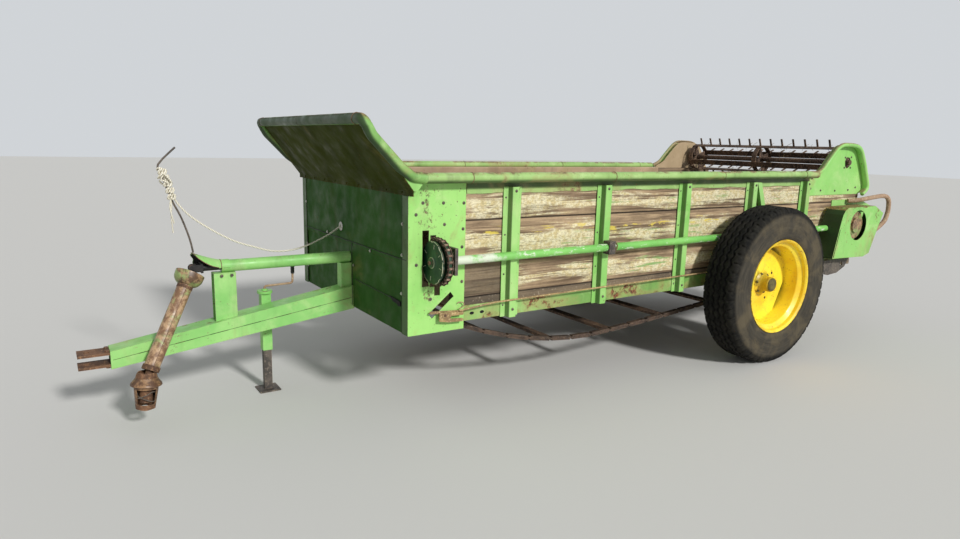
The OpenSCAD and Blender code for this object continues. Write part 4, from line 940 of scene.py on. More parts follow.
WORN_TAN = {"rust_light": "9a7a5a", "rust_dark": "5f4330"}
RECIPES = {
    Finish.SUN_GREEN: FieldPaint("a2d47a", "86c462", chalk=0.35, grime=0.2, rust=0.8, patches=0.66,
                                 front_shade=0.6),
    Finish.EAR_GREEN: FieldPaint("a6d87c", "8ccb67", chalk=0.35, grime=0.2, rust=0.9, patches=0.66,
                                 top=0.9, inner=0.95, rust_light="a88468", rust_dark="7a5a44"),
    # Its band is the tube's shadow painted on the flange below it.
    Finish.RAIL_GREEN: FieldPaint("9fc274", "84ab5a", chalk=0.5, grime=0.4, rust=0.9, patches=0.58,
                                  top=0.45, front_shade=0.75, band=(1.132, 1.160), **WORN_TAN),
    Finish.TUBE_GREEN: FieldPaint("86b862", "6c9c4c", chalk=0.4, grime=0.4, rust=0.8, patches=0.60,
                                  top=0.8, front_shade=0.9, front_shade_from=0.05, **WORN_TAN),
    # Painted shade: a darker copy of the green for the front sheet, which stands in shade.
    Finish.FRONT_GREEN: FieldPaint("31591f", "274c1a", pale="3c5a2c", chalk=0.2, grime=0.35,
                                   rust=0.35, patches=0.68, rough=0.6, sheen=0.12),
    Finish.PANEL_GREEN: FieldPaint(
        "a4dc78", "88cb62", chalk=0.5, grime=0.2, rust=0.9, patches=0.62, front_shade=0.85,
        rust_light="7d5c48", rust_dark="4a342a",
        stains=((LAY.x(0.100), 1.120, 0.090, 0.035), (LAY.x(0.089), 1.020, 0.022, 0.170),
                (LAY.x(0.120), 0.985, 0.100, 0.060), (LAY.x(0.110), 0.645, 0.055, 0.070))),
    Finish.SILL_GREEN: FieldPaint("90b868", "719f4e", chalk=0.4, grime=0.6, rust=1.0, patches=0.52),
    Finish.TONGUE_GREEN: FieldPaint("a0d67c", "80c265", chalk=0.35, grime=0.25, rust=0.8,
                                    patches=0.64, top=0.25, rust_light="9a8a68",
                                    rust_dark="6f5a40"),
    Finish.CASE_GREEN: FieldPaint(
        "92cc6c", "78b858", chalk=0.4, grime=0.25, rust=1.0, patches=0.56, top=0.9, front_shade=0.97,
        rust_light="95693f", rust_dark="5a3c26",
        stains=((LAY.x(3.865), LAY.z(0.400), 0.045, 0.070),
                (LAY.x(3.620), LAY.z(0.470), 0.230, 0.010))),
    Finish.PIPE_GREEN: PipePaint(LAY.x(0.42)),
    Finish.DEEP_GREEN: FieldPaint("2c5522", "20401a", pale="4b6a48", chalk=0.2, grime=0.3, rust=0.5,
                                  patches=0.64),
    # Painted shade: a darker copy of the green for the drive disc, whose front face stands in shade.
    Finish.DRIVE_GREEN: FieldPaint("173a24", "0f2a19", pale="3f6b45", chalk=0.35, grime=0.3,
                                   rust=0.4, wear=1.0, patches=0.66),
    # Painted shade: a near-black olive copy of the green for the flare's sloping sheet and its bolts,
    # which stand in shade.
    Finish.SHADED_UNDER_GREEN: FieldPaint("3e4514", "31380f", pale="454c1b", dirt="242108", chalk=0.25,
                                   grime=0.35, rust=0.3, patches=0.64, rough=0.7, sheen=0.08),
    Finish.INNER_TAN: FieldPaint("b89c7c", "9a8064", pale="cdb08e", dirt="5a5238", chalk=0.5,
                                 grime=0.4, rust=0.9, patches=0.58),
    Finish.BOARDS: BoardWood(),
    Finish.FLOOR: FloorWood(),
    Finish.DARK_RUST: RustSteel("34261d", "5e4836", "a08068"),
    Finish.BROWN_RUST: RustSteel("503726", "765339", "9f7856"),
    Finish.PALE_RUST: RustSteel("94745a", "ad9074", "c9b092", bright=0.5),
    Finish.CHAIN_RUST: RustSteel("2c211b", "4c3a2e", "8a735c", scale=1.6),
    Finish.TAN_ROD: RustSteel("866c48", "b0945f", "d8c08c", rough=0.6),
    # Rust tones kept paler than the chain's plates, partly as painted glints on the rollers.
    Finish.PEG: RustSteel("7a5f4e", "a28670", "c8ae96", bright=0.6),
    Finish.IRON: RustSteel("3d3833", "5d544b", "85786a", rough=0.6),
    Finish.BRIGHT: PlainFinish("c9c7be", "958f84", 0.35, 0.7),
    Finish.PALE_WEAR: PlainFinish("d6d2b4", "9fae84", 0.5, scale=45),
    Finish.YELLOW: WheelEnamel(),
    Finish.GREASE: PlainFinish("4a4424", "6a6232", 0.35, scale=30),
    Finish.RUBBER: TyreRubber(),
    Finish.SHIELD: WornShield("a9b878", "84985a", 0.50),
    Finish.DRUM: WornShield("8e9c60", "66743e", 0.36, "5a3f2c", "94714f"),
    Finish.BELL: WornShield("9fb874", "7d9652", 0.52, "5e4632", "a88764"),
    Finish.BLACK: PlainFinish("171614", "2b2723"),
    # Painted shade: near black for holes, gaps and the inside of the hood, where only shade lies.
    Finish.HOLE_SHADE: PlainFinish("0c0b09", "15130f", 0.9),
    Finish.GRIP: PlainFinish("1b1b1b", "2a2a2a", 0.55),
    Finish.STRAW: PlainFinish("a58f5c", "7a6a44", 0.9, scale=60),
    Finish.ROPE: RopeFibre(),
}


class Palette:
    """Builds each finish's material the first time that it is asked for."""

    def __init__(self) -> None:
        self.made: dict[Finish, bpy.types.Material] = {}

    def __getitem__(self, finish: Finish) -> bpy.types.Material:
        """The material of a finish."""
        if finish not in self.made:
            self.made[finish] = RECIPES[finish].build(finish.value[0])
        return self.made[finish]


# Assemblies

@dataclass
class Assembly:
    """What the sub-assemblies share: the palette, and ways to put in and dress pieces."""

    palette: Palette

    def put(self, name: str, part: Part, finish: Finish, body: str = "frame",
            sharp: float = 38.0, bevel: float = 0.0, stand_for: Sequence[str] = (),
            flat: bool = False) -> bpy.types.Object:
        """Makes an object from points and faces.

        Args:
            name: the piece's name.
            part: points and faces of closed shells.
            finish: its finish.
            body: the CAD body that it rides on.
            sharp: edges over this angle stay sharp, in degrees.
            bevel: width of a small bevel on sharp edges, or 0.
            stand_for: CAD nodes that the piece replaces.
            flat: no smooth shading at all.

        Returns:
            The new object.
        """
        points, faces = part
        mesh = bpy.data.meshes.new(name)
        mesh.from_pydata(np.asarray(points, float).tolist(), [], [list(f) for f in faces])
        work = bmesh.new()
        work.from_mesh(mesh)
        bmesh.ops.remove_doubles(work, verts=work.verts, dist=1e-6)
        bmesh.ops.dissolve_degenerate(work, edges=work.edges, dist=1e-7)
        bmesh.ops.recalc_face_normals(work, faces=work.faces)
        work.to_mesh(mesh)
        work.free()
        mesh.validate()
        if not flat:
            mesh.shade_smooth()
            mesh.set_sharp_from_angle(angle=math.radians(sharp))
        made = bpy.data.objects.new(name, mesh)
        bpy.context.scene.collection.objects.link(made)
        made.data.materials.append(self.palette[finish])
        if bevel:
            b = made.modifiers.new("edge", "BEVEL")
            b.width = bevel
            b.segments = 2
            b.limit_method = "ANGLE"
            b.angle_limit = math.radians(40)
        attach(made, body)
        finish.slot
        if stand_for:
            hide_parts(*stand_for)
        return made

    def put_all(self, rows: Sequence[tuple], body: str = "frame") -> None:
        """Several pieces, each as (name, part, finish, nodes that it replaces...)."""
        for name, part, finish, *nodes in rows:
            self.put(name, part, finish, body, stand_for=nodes)

    def dress(self, node: str, finish: Finish) -> None:
        """Gives a CAD node its finish."""
        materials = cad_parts[node].data.materials
        materials.clear()
        materials.append(self.palette[finish])


@dataclass
class ControlRope(Assembly):
    """The control rope from the front sheet to the guide rod, its knots and hanging ends."""

    diameter: float = 0.009
    route: tuple[Point, ...] = (
        (0.006, -0.098, 0.388), (0.040, -0.094, 0.366), (0.100, -0.088, 0.335),
        (0.205, -0.076, 0.295), (0.303, -0.065, 0.277), (0.400, -0.054, 0.282),
        (0.495, -0.044, 0.312), (0.590, -0.033, 0.348), (0.693, -0.022, 0.408),
        (0.790, -0.012, 0.480), (0.848, -0.004, 0.546), (0.876, 0.000, 0.606))
    lumps: tuple[Point, ...] = (
        (0.004, 0.004, 0.004), (0.012, 0.006, 0.034), (0.022, -0.004, 0.062), (0.032, 0.004, 0.090),
        (0.000, 0.010, -0.026))
    loops: tuple[tuple[Point, float, float], ...] = (
        ((0.028, 0.012, 0.040), 0.017, 0.3), ((0.036, 0.008, 0.072), 0.015, -0.4),
        ((0.010, 0.014, 0.058), 0.014, 0.9), ((0.040, 0.002, 0.100), 0.013, 0.1))

    tails: tuple[tuple[Point, ...], ...] = (
        ((0.004, 0.006, -0.030), (0.002, 0.012, -0.060), (0.006, 0.016, -0.120),
         (0.002, 0.014, -0.196)),
        ((0.000, 0.010, -0.030), (0.010, 0.018, -0.070), (0.004, 0.022, -0.115),
         (-0.004, 0.018, -0.150)))
    tail_radius: float = 0.0034
    sides: int = 10
    strand_turn: float = 0.022

    def place(self, p: Sequence[float]) -> Point:
        """A route point (in front of the sheet, sideways, above the sills) in space."""
        return (LAY.x(-p[0]), p[1], LAY.z(p[2]))

    @staticmethod
    def corners(mesh: bpy.types.Mesh) -> tuple[Array, Array]:
        """The points of a mesh, and the point that each face corner stands on."""
        points, corner = np.empty(len(mesh.vertices) * 3), np.empty(len(mesh.loops), int)
        mesh.vertices.foreach_get("co", points)
        mesh.loops.foreach_get("vertex_index", corner)
        return points.reshape(-1, 3), corner

    @staticmethod
    def lay_map(mesh: bpy.types.Mesh, values: Array) -> None:
        """Writes the map of the strands, one row a face corner."""
        mesh.uv_layers.new(name="lay").data.foreach_set("uv", values.ravel())

    def cord_mesh(self, name: str, path: Array, radius: float, stand_for: Sequence[str] = ()
                  ) -> bpy.types.Object:
        """A rope along a path, with a map of (turns along, share round) for its strands."""
        made = self.put(name, rod(radius, self.sides, path, up=(0, 1, 0.01)), Finish.ROPE,
                        stand_for=stand_for, sharp=80)
        points, corner = self.corners(made.data)
        near = np.linalg.norm(points[:, None] - path[None], axis=2).argmin(1)
        share = (np.arange(len(near)) % self.sides) / self.sides
        turns = run_along(path)[near][corner] / self.strand_turn
        self.lay_map(made.data, np.stack([turns, share[corner]], -1))
        return made

    def knot(self, centre: Sequence[float]) -> Part:
        """An overhand lump: a rope carried along a trefoil of about 40 mm."""
        t = full_turn(60)
        k = 0.0085
        path = np.stack([k * (np.sin(t) + 1.5 * np.sin(2 * t)) * 0.8,
                         k * (np.cos(t) - 1.5 * np.cos(2 * t)) * 0.8,
                         -k * np.sin(3 * t) * 1.2], -1) + np.asarray(centre, float)
        return rod(0.0052, 8, path, up=(0.2, 0.3, 1), loop=True)

    def loop(self, centre: Sequence[float], radius: float, lean: float) -> Part:
        """A loop of cord round the rod: an ellipse whose height swings once a turn."""
        t = full_turn(40)
        line = np.stack([radius * np.cos(t), 0.75 * radius * np.sin(t),
                         radius * (lean * np.cos(t) + 0.55 * np.sin(t + lean))], -1)
        return rod(0.0040, 8, line + centre, up=(0.1, 0.2, 1), loop=True)

    def build(self) -> None:
        """Puts in the rope first, then its knots, loops and tails."""
        path = smooth([self.place(p) for p in self.route], 4)
        rope = self.cord_mesh("control_rope", path, self.diameter / 2, ("rope",))
        end = np.asarray(self.place(self.route[-1]))
        knots = join([self.knot(end + np.asarray(o)) for o in self.lumps]
                     + [self.loop(end + np.asarray(o), r, lean) for o, r, lean in self.loops])
        cluster = self.put("rope_knots", knots, Finish.ROPE, stand_for=("rope_tail",), sharp=80)
        points, corner = self.corners(cluster.data)
        xyz = points[corner]
        self.lay_map(cluster.data, np.stack([xyz[:, 2] / 0.02, xyz[:, 0] / 0.03], -1))
        tuple(path[0])
        self.length(path)
        for name, offsets in zip(("rope_tail_a", "rope_tail_b"), self.tails):
            line = spread(smooth([end + np.asarray(o) for o in offsets], 6), 0.008)
            tail = self.cord_mesh(name, line, self.tail_radius)
            tuple(line[0])
            self.length(line)
            2 * self.tail_radius
        log.info("rope: %.2f m and two tails", self.length(path))

    @staticmethod
    def length(path: Array) -> float:
        """Length of a line of points."""
        return float(run_along(path)[-1])


def ring_line(centre: Sequence[float], radius: float, steps: int, lean: float = 0.0) -> Array:
    """A circle round a line along X; it leans along X with the sine of its angle."""
    t = full_turn(steps)
    return np.asarray(centre, float) + np.column_stack([lean * np.sin(t), radius * np.cos(t),
                                                        radius * np.sin(t)])


def folded(points: Sequence[Sequence[float]], thickness: float, radius: float = 0.005,
           steps: int = 3) -> Array:
    """Closed profile of sheet metal bent along a line of (side, top) points.

    The line's corners are rounded, and each point moves half the thickness both ways along the
    mitre of its two stretches.
    """
    line = fillet(points, radius, steps) if radius else np.asarray(points, float)
    d = unit(np.diff(line, axis=0))
    a = np.concatenate([d[:1], d])
    b = np.concatenate([d, d[-1:]])
    m = unit(a + b)
    n = np.stack([-m[:, 1], m[:, 0]], -1) / np.maximum((m * a).sum(1), 0.3)[:, None]
    return np.concatenate([line + n * thickness / 2, (line - n * thickness / 2)[::-1]])


def ribbon(upper: Array, lower: Array, normal: Sequence[float], thickness: float) -> Part:
    """A thin closed sheet between two lines of points, thick along the normal."""
    a, b = np.asarray(upper, float), np.asarray(lower, float)
    n = unit(np.asarray(normal, float)) * thickness / 2
    rows = np.stack([a + n, b + n, b - n, a - n], 1)
    return rows.reshape(-1, 3), grid_faces(len(a), 4, False, True).tolist() + end_caps(len(a), 4)


def weld(path: Array, radius: float = 0.0035, pitch: float = 0.004, sides: int = 6) -> Part:
    """A weld bead along a path, swelling once a pitch: radius * (1 + 0.25 * cos of the run)."""
    line = spread(path, pitch / 2)
    swell = 1 + 0.25 * np.cos(np.arange(len(line)) * math.pi)
    return rod(radius, sides, line, up=(0.3, 0.2, 1), scale=swell)


@dataclass
class SideBoards(Assembly):
    """Four rough boards a side, with worn edges and slots for the two apron shafts."""

    front_back: float = 0.2433
    shaft_backs: tuple[float, float] = (0.340, 3.420)
    shaft_h: float = 0.017
    slot_r: float = 0.022
    gap: float = 0.003
    step: float = 0.045

    def upper_board(self, index: int) -> Part:
        """One full board: a rounded section whose faces and edges wander a little."""
        base = LAY.sheet + LAY.low_board_h + (index - 1) * LAY.board_h
        n = int((LAY.box_len - self.front_back) / self.step)
        x = np.linspace(LAY.x(self.front_back), LAY.x(LAY.box_len), n)
        y = LAY.board_y - LAY.board_t / 2
        z = LAY.z(base + LAY.board_h / 2)
        path = np.column_stack([x, np.full(n, y), np.full(n, z)])
        height = LAY.board_h - self.gap
        points, faces = carry(rounded(LAY.board_t, height, 0.004, 2), path)
        lift = wobble(points * (1, 0, 0), 0.0016, 3.0, index)
        points[:, 2] += np.where(np.abs(points[:, 2] - z) > height * 0.4, lift, 0)
        points[:, 1] = np.minimum(points[:, 1] + wobble(points, 0.0012, 2.2, 10 + index),
                                  LAY.board_y)
        return points, faces

    def low_board(self) -> Part:
        """The bottom board, with a notch over each shaft."""
        low, top = LAY.sheet + 0.0005, LAY.sheet + LAY.low_board_h - self.gap / 2
        arc = np.linspace(0, math.pi, 9)
        notches = []
        for back in self.shaft_backs:
            notch = np.stack([back - self.slot_r * np.cos(arc),
                              self.shaft_h + self.slot_r * np.sin(arc)], -1)
            notches += [[(back - self.slot_r, low)], notch, [(back + self.slot_r, low)]]
        outline = np.concatenate([[(self.front_back, low)], *notches,
                                  [(LAY.box_len, low), (LAY.box_len, top),
                                   (self.front_back, top)]])
        return prism(outline, side_space, (LAY.inner_y, LAY.board_y - 0.0005))

    def build(self) -> None:
        """Both sides' boards, one object a board."""
        for name, turn in SIDES:
            node = f"side_boards_{name}"
            self.put(f"board_{name}_0", turn(self.low_board()), Finish.BOARDS, bevel=0.003,
                     stand_for=(node,))
            for index in (1, 2, 3):
                self.put(f"board_{name}_{index}", turn(self.upper_board(index)), Finish.BOARDS)


@dataclass
class Posts(Assembly):
    """Folded hat-section posts with their bolts and the brace of the fourth post."""

    crown: float = 0.0225
    flange: float = 0.032
    depth: float = 0.036
    wall: float = 0.004
    low: float = 0.477
    low_over_axle: float = 0.4835
    top: float = 1.138
    axle_post: int = 3
    bolt_heights: tuple[float, ...] = (0.055, 0.205, 0.405, 0.600)

    def post(self, index: int) -> Part:
        """One post: the hat profile carried upwards."""
        c, f, d, t = self.crown, self.flange, self.depth, self.wall
        line = [(-c - f, t / 2), (-c - 0.001, t / 2), (-c + 0.002, d - t / 2),
                (c - 0.002, d - t / 2), (c + 0.001, t / 2), (c + f, t / 2)]
        low = self.low_over_axle if index == self.axle_post else self.low
        x = LAY.x(LAY.posts[index])
        z = np.linspace(low, self.top, 24)
        lean = 0.0006 * np.sin(z * 9 + index)
        path = np.column_stack([x + lean, np.full(24, LAY.side_y + HAIR), z])
        return carry(folded(line, t, 0.005, 3), path, up=(0, 1, 0))

    def bolts(self) -> Part:
        """Round bolt heads down the flanges of every post."""
        places = [(LAY.x(back) + side * (self.crown + 0.017), LAY.side_y + self.wall + HAIR,
                   LAY.z(height) + 0.012 * math.sin(index * 2.1 + board))
                  for index, back in enumerate(LAY.posts)
                  for board, height in enumerate(self.bolt_heights) for side in (-1, 1)]
        return bolt_heads(places, (0, 1, 0), 0.0050, 0.0035)

    def foot_bolts(self) -> Part:
        """Hexagon nuts at the foot and head of every crown."""
        pairs = [(back, height) for index, back in enumerate(LAY.posts)
                 for height in (0.035 if index != self.axle_post else 0.045, 0.635)]
        return bolt_heads(at_side(pairs, LAY.side_y + self.depth + HAIR), (0, 1, 0), 0.0058, 0.0055,
                          Head.WASHER)

    def brace(self) -> Part:
        """The flat brace that leans back from the fourth post."""
        head = LAY.posts[3] + self.crown + 0.001
        top = self.top - LAY.sill_z - 0.002
        outline = [(head, top), (head + 0.044, top), (head + 0.143, 0.401), (head + 0.099, 0.401)]
        return prism(fillet(outline, 0.006, 3, loop=True), side_space, (0.7245, 0.7515))

    def build(self) -> None:
        """Posts of both sides, then bolts, nuts and braces."""
        for name, turn in SIDES:
            posts = join([self.post(i) for i in range(len(LAY.posts))])
            self.put(f"posts_{name}_hats", turn(posts), Finish.SUN_GREEN,
                     stand_for=(f"posts_{name}",))
            self.put(f"posts_{name}_brace", turn(self.brace()), Finish.SUN_GREEN, bevel=0.002)
            self.put(f"posts_{name}_bolts", turn(self.bolts()), Finish.IRON)
            self.put(f"posts_{name}_nuts", turn(self.foot_bolts()), Finish.IRON)


@dataclass
class Rails(Assembly):
    """Round top rails, their cover and the ragged flashing over the top board."""

    radius: float = 0.025
    centre_z: float = 1.185
    start: float = 0.058
    stop: float = 3.181
    cover_t: float = 0.003
    flange_low: float = 1.107
    flange_top: float = 1.1705
    bands: tuple[float, ...] = (0.300, 1.215, 2.140, 3.020)

    def tube(self) -> Part:
        """The round rail, a little dented along its run."""
        x = np.arange(LAY.x(self.start), LAY.x(self.stop), -0.03)
        y = np.full(len(x), LAY.side_y + LAY.rail_out)
        path = np.column_stack([x, y, np.full(len(x), self.centre_z)])
        scale = 1 - 0.012 * np.abs(np.sin(x * 5.1) * np.sin(x * 2.3 + 1))
        return rod(self.radius, 28, path, scale=scale)

    def cover(self) -> Part:
        """The sheet over the boards' top, folded down on the inner side."""
        x = np.linspace(LAY.x(0.253), LAY.x(3.173), 60)
        line = [(LAY.inner_y - 0.0015, 1.113), (LAY.inner_y - 0.0015, LAY.board_top + 0.0018),
                (LAY.side_y + LAY.rail_out - 0.004, LAY.board_top + 0.0018)]
        path = np.column_stack([x, np.zeros(60), np.zeros(60)])
        return carry(folded(line, self.cover_t, 0.006, 4), path)

    def flashing(self) -> Part:
        """The outer flange, its lower edge eaten away in waves."""
        x = np.arange(LAY.x(0.309), LAY.x(3.173), -0.009)
        y = np.full(len(x), LAY.side_y - 0.0018)
        base = np.column_stack([x, y, np.zeros(len(x))])
        ragged = (wobble(base, 0.0042, 16, 3) + wobble(base, 0.0028, 60, 4)
                  + 0.012 * np.clip(wobble(base, 1.0, 5, 5) - 0.55, 0, 1))
        low = np.clip(self.flange_low + ragged, 1.1055, 1.135)
        upper = np.column_stack([x, y, np.full(len(x), self.flange_top)])
        lower = np.column_stack([x, y + 0.0006, low])
        return ribbon(upper, lower, (0, 1, 0), 0.0034)

    def joints(self) -> Part:
        """Weld rings where lengths of rail meet."""
        y = LAY.side_y + LAY.rail_out
        return join([rod(0.0022, 6, ring_line((LAY.x(back), y, self.centre_z), self.radius, 60),
                         up=(1, 0, 0), loop=True) for back in self.bands])

    def build(self) -> None:
        """Rail, cover, flashing and weld rings of both sides."""
        for name, turn in SIDES:
            self.put_all((
                (f"rail_{name}_tube", turn(self.tube()), Finish.RAIL_GREEN, f"rail_{name}"),
                (f"rail_{name}_cover", turn(self.cover()), Finish.INNER_TAN),
                (f"rail_{name}_flashing", turn(self.flashing()), Finish.RAIL_GREEN),
                (f"rail_{name}_welds", turn(self.joints()), Finish.BROWN_RUST)))


@dataclass
class Flare(Assembly):
    """The forward-leaning top of the front: folded sheet, side webs and a rolled tube."""

    tube_r: float = 0.025
    rail_y: float = 0.770
    sheet: float = 0.004
    reach: float = 0.240
    rise: float = 0.308
    seam_z: float = 1.128
    corner_r: float = 0.055
    side_line: tuple[tuple[float, float], ...] = (
        (0.060, 1.185), (-0.010, 1.193), (-0.070, 1.235), (-0.132, 1.298), (-0.201, 1.368),
        (-0.240, 1.436))

    def tube(self) -> Part:
        """The rolled edge: up one side, across the front and down the other side."""
        side = [(LAY.x(d), self.rail_y, z) for d, z in self.side_line]
        path = side + [(x, -y, z) for x, y, z in reversed(side)]
        line = spread(fillet(path, self.corner_r, 8), 0.012)
        scale = 1 - 0.02 * np.abs(np.sin(np.arange(len(line)) * 0.21))
        return rod(self.tube_r, 24, line, up=(0.35, 0.0, 1), scale=scale)

    def slope(self) -> Part:
        """The folded sheet, slightly buckled between its sides."""
        lap = -0.0023
        line = [(lap, 1.104), (lap, self.seam_z),
                (-self.reach + 0.006, self.seam_z + self.rise - 0.008)]
        n = 40
        y = np.linspace(-self.rail_y + 0.002, self.rail_y - 0.002, n)
        shape = folded(line, self.sheet, 0.012, 4)
        m = len(shape)
        rows = np.stack([np.broadcast_to(LAY.x(0) - shape[:, 0], (n, m)),
                         np.broadcast_to(y[:, None], (n, m)),
                         np.broadcast_to(shape[:, 1], (n, m))], -1)
        points = rows.reshape(-1, 3).copy()
        lift = np.clip((points[:, 2] - self.seam_z) / self.rise, 0, 1)
        points[:, 0] += wobble(points * (0, 1, 1), 0.0020, 4, 21) * np.sin(lift * math.pi)
        return points, grid_faces(n, m, False, True).tolist() + end_caps(n, m)

    def web(self) -> Part:
        """One side web between the sheet, the tube and the rail."""
        outline = [(0.0, self.seam_z), (-self.reach + 0.012, self.seam_z + self.rise - 0.020),
                   (-0.201, 1.368), (-0.132, 1.298), (-0.070, 1.235), (-0.010, 1.193),
                   (0.056, 1.185), (0.056, 1.173), (0.020, self.seam_z)]
        flat = np.asarray(outline) - (0, LAY.sill_z)
        return prism(flat, side_space, (self.rail_y - self.sheet, self.rail_y - 0.0003))

    def seam_bolts(self) -> Part:
        """Bolts along the seam under the slope."""
        y = np.linspace(-0.66, 0.66, 9)
        places = np.column_stack([np.full(9, LAY.x(-0.0046)), y, np.full(9, 1.116)])
        return bolt_heads(places, (1, 0, 0), 0.0055, 0.0040)

    def welds(self) -> Part:
        """Bead under the tube, and the bands where its three lengths meet."""
        bead = weld(np.asarray([(LAY.x(-self.reach + 0.020), y, self.seam_z + self.rise - 0.018)
                                for y in np.linspace(-0.75, 0.75, 30)]), 0.0035)
        rings = []
        for y in (-0.700, 0.705):
            t = full_turn(48)
            ring = np.column_stack([LAY.x(-self.reach) + (self.tube_r + 0.0005) * np.cos(t),
                                    y + 0.004 * np.sin(2 * t),
                                    self.seam_z + self.rise + (self.tube_r + 0.0005) * np.sin(t)])
            rings.append(rod(0.0012, 6, ring, up=(0, 1, 0), loop=True))
        return join([bead, *rings])

    def build(self) -> None:
        """Tube, sheet, webs, bolts and welds."""
        self.put_all((
            ("flare_tube", self.tube(), Finish.TUBE_GREEN, "flare"),
            ("flare_slope", self.slope(), Finish.SHADED_UNDER_GREEN),
            ("flare_webs", both_sides(self.web()), Finish.SUN_GREEN),
            ("flare_bolts", self.seam_bolts(), Finish.SHADED_UNDER_GREEN),
            ("flare_welds", self.welds(), Finish.BROWN_RUST)))


@dataclass
class Ears(Assembly):
    """Rear side sheets with a broad rolled edge and the upper beater's bearing."""

    hole: tuple[float, float] = (3.653, 0.785)
    hole_r: float = 0.040
    lip_r: float = 0.0135
    lip_out: float = 0.035
    lip_t: float = 0.0034
    bearing_bolts_r: float = 0.056
    low: float = 0.550
    outline_from: tuple[tuple[float, float], ...] = (
        (3.191, 0.702), (3.270, 0.735), (3.330, 0.790), (3.410, 0.864), (3.460, 0.898),
        (3.520, 0.912), (3.665, 0.908), (3.737, 0.885), (3.781, 0.836), (3.844, 0.733),
        (3.902, 0.604), (3.842, 0.552))

    def edge(self) -> Array:
        """The edge's line of (distance behind the front sheet, height above the sills)."""
        return spread(smooth(self.outline_from, 5), 0.011)

    def sheet(self) -> Part:
        """The flat side sheet round a ragged hole."""
        outline = np.concatenate([[(LAY.ear_front, self.low), (LAY.ear_front, 0.702)], self.edge(),
                                  [(3.842, self.low)]])
        angles = full_turn(160)
        outer = at_angles(outline, self.hole, angles)
        ragged = (1 + 0.05 * np.sin(3 * angles + 1) + 0.035 * np.sin(7 * angles)
                  + 0.02 * np.sin(19 * angles + 2))
        hole = self.hole + self.hole_r * ragged[:, None] * circle(1.0, 160)
        return ring_plate(outer, hole, side_space, (LAY.board_y, LAY.side_y - HAIR))

    def lip(self) -> Part:
        """The edge strip that arches outwards and rolls into a round lip."""
        edge = self.edge()
        path = side_space(np.column_stack([edge, np.zeros(len(edge))]))
        a = np.radians(np.linspace(95, -150, 15))
        y = LAY.side_y + self.lip_out
        roll = np.stack([self.lip_r * np.sin(a) - 0.001, y + self.lip_r * np.cos(a)], -1)
        strip = [(0.001, LAY.side_y - 0.003), (0.006, LAY.side_y + 0.004),
                 (0.0105, LAY.side_y + 0.016)]
        return carry(folded(np.concatenate([strip, roll]), self.lip_t, 0.0), path, up=(0, 1, 0))

    def end_discs(self) -> Part:
        """Closed ends of the rolled lip."""
        ends = []
        edge = self.edge()
        profile = ((0.002, -0.003), (self.lip_r, -0.003), (self.lip_r, 0.001), (0.010, 0.004),
                   (0.002, 0.005))
        for end, inner in ((edge[0], edge[1]), (edge[-1], edge[-2])):
            back, up = end - inner
            centre = at_side([end], LAY.side_y + self.lip_out)[0]
            ends.append(revolve(profile, centre, (-back, 0, up), 24))
        return join(ends)

    def bearing(self) -> Part:
        """The cast housing seen through the hole."""
        profile = [(0.0192, -0.030), (0.059, -0.030), (0.059, -0.012), (0.046, -0.008),
                   (0.036, -0.0045), (0.0192, -0.0045)]
        return revolve(profile, at_side([self.hole], LAY.board_y)[0])

    def bolts(self) -> Part:
        """Four bolts round the bearing, and bolts along the front edge."""
        y, r = LAY.side_y - HAIR, self.bearing_bolts_r
        cx, _, cz = at_side([self.hole], y)[0]
        ring = [(cx + r * math.cos(a), y, cz + r * math.sin(a))
                for a in np.radians([40, 135, 222, 318])]
        row = at_side(((3.205, 0.672), (3.200, 0.600), (3.330, 0.585), (3.520, 0.580),
                       (3.700, 0.582), (3.800, 0.600)), y)
        return bolt_heads(ring + row, (0, 1, 0), 0.0060, 0.0045, Head.WASHER)

    def build(self) -> None:
        """Sheet, lip, bearing and bolts of both sides."""
        for name, turn in SIDES:
            self.put(f"ear_{name}_sheet", turn(self.sheet()), Finish.EAR_GREEN,
                     stand_for=(f"ear_{name}",))
            self.put(f"ear_{name}_lip", turn(self.lip()), Finish.EAR_GREEN, sharp=60)
            self.put_all((
                (f"ear_{name}_ends", turn(self.end_discs()), Finish.EAR_GREEN),
                (f"ear_{name}_bearing", turn(self.bearing()), Finish.DARK_RUST),
                (f"ear_{name}_bolts", turn(self.bolts()), Finish.IRON)))


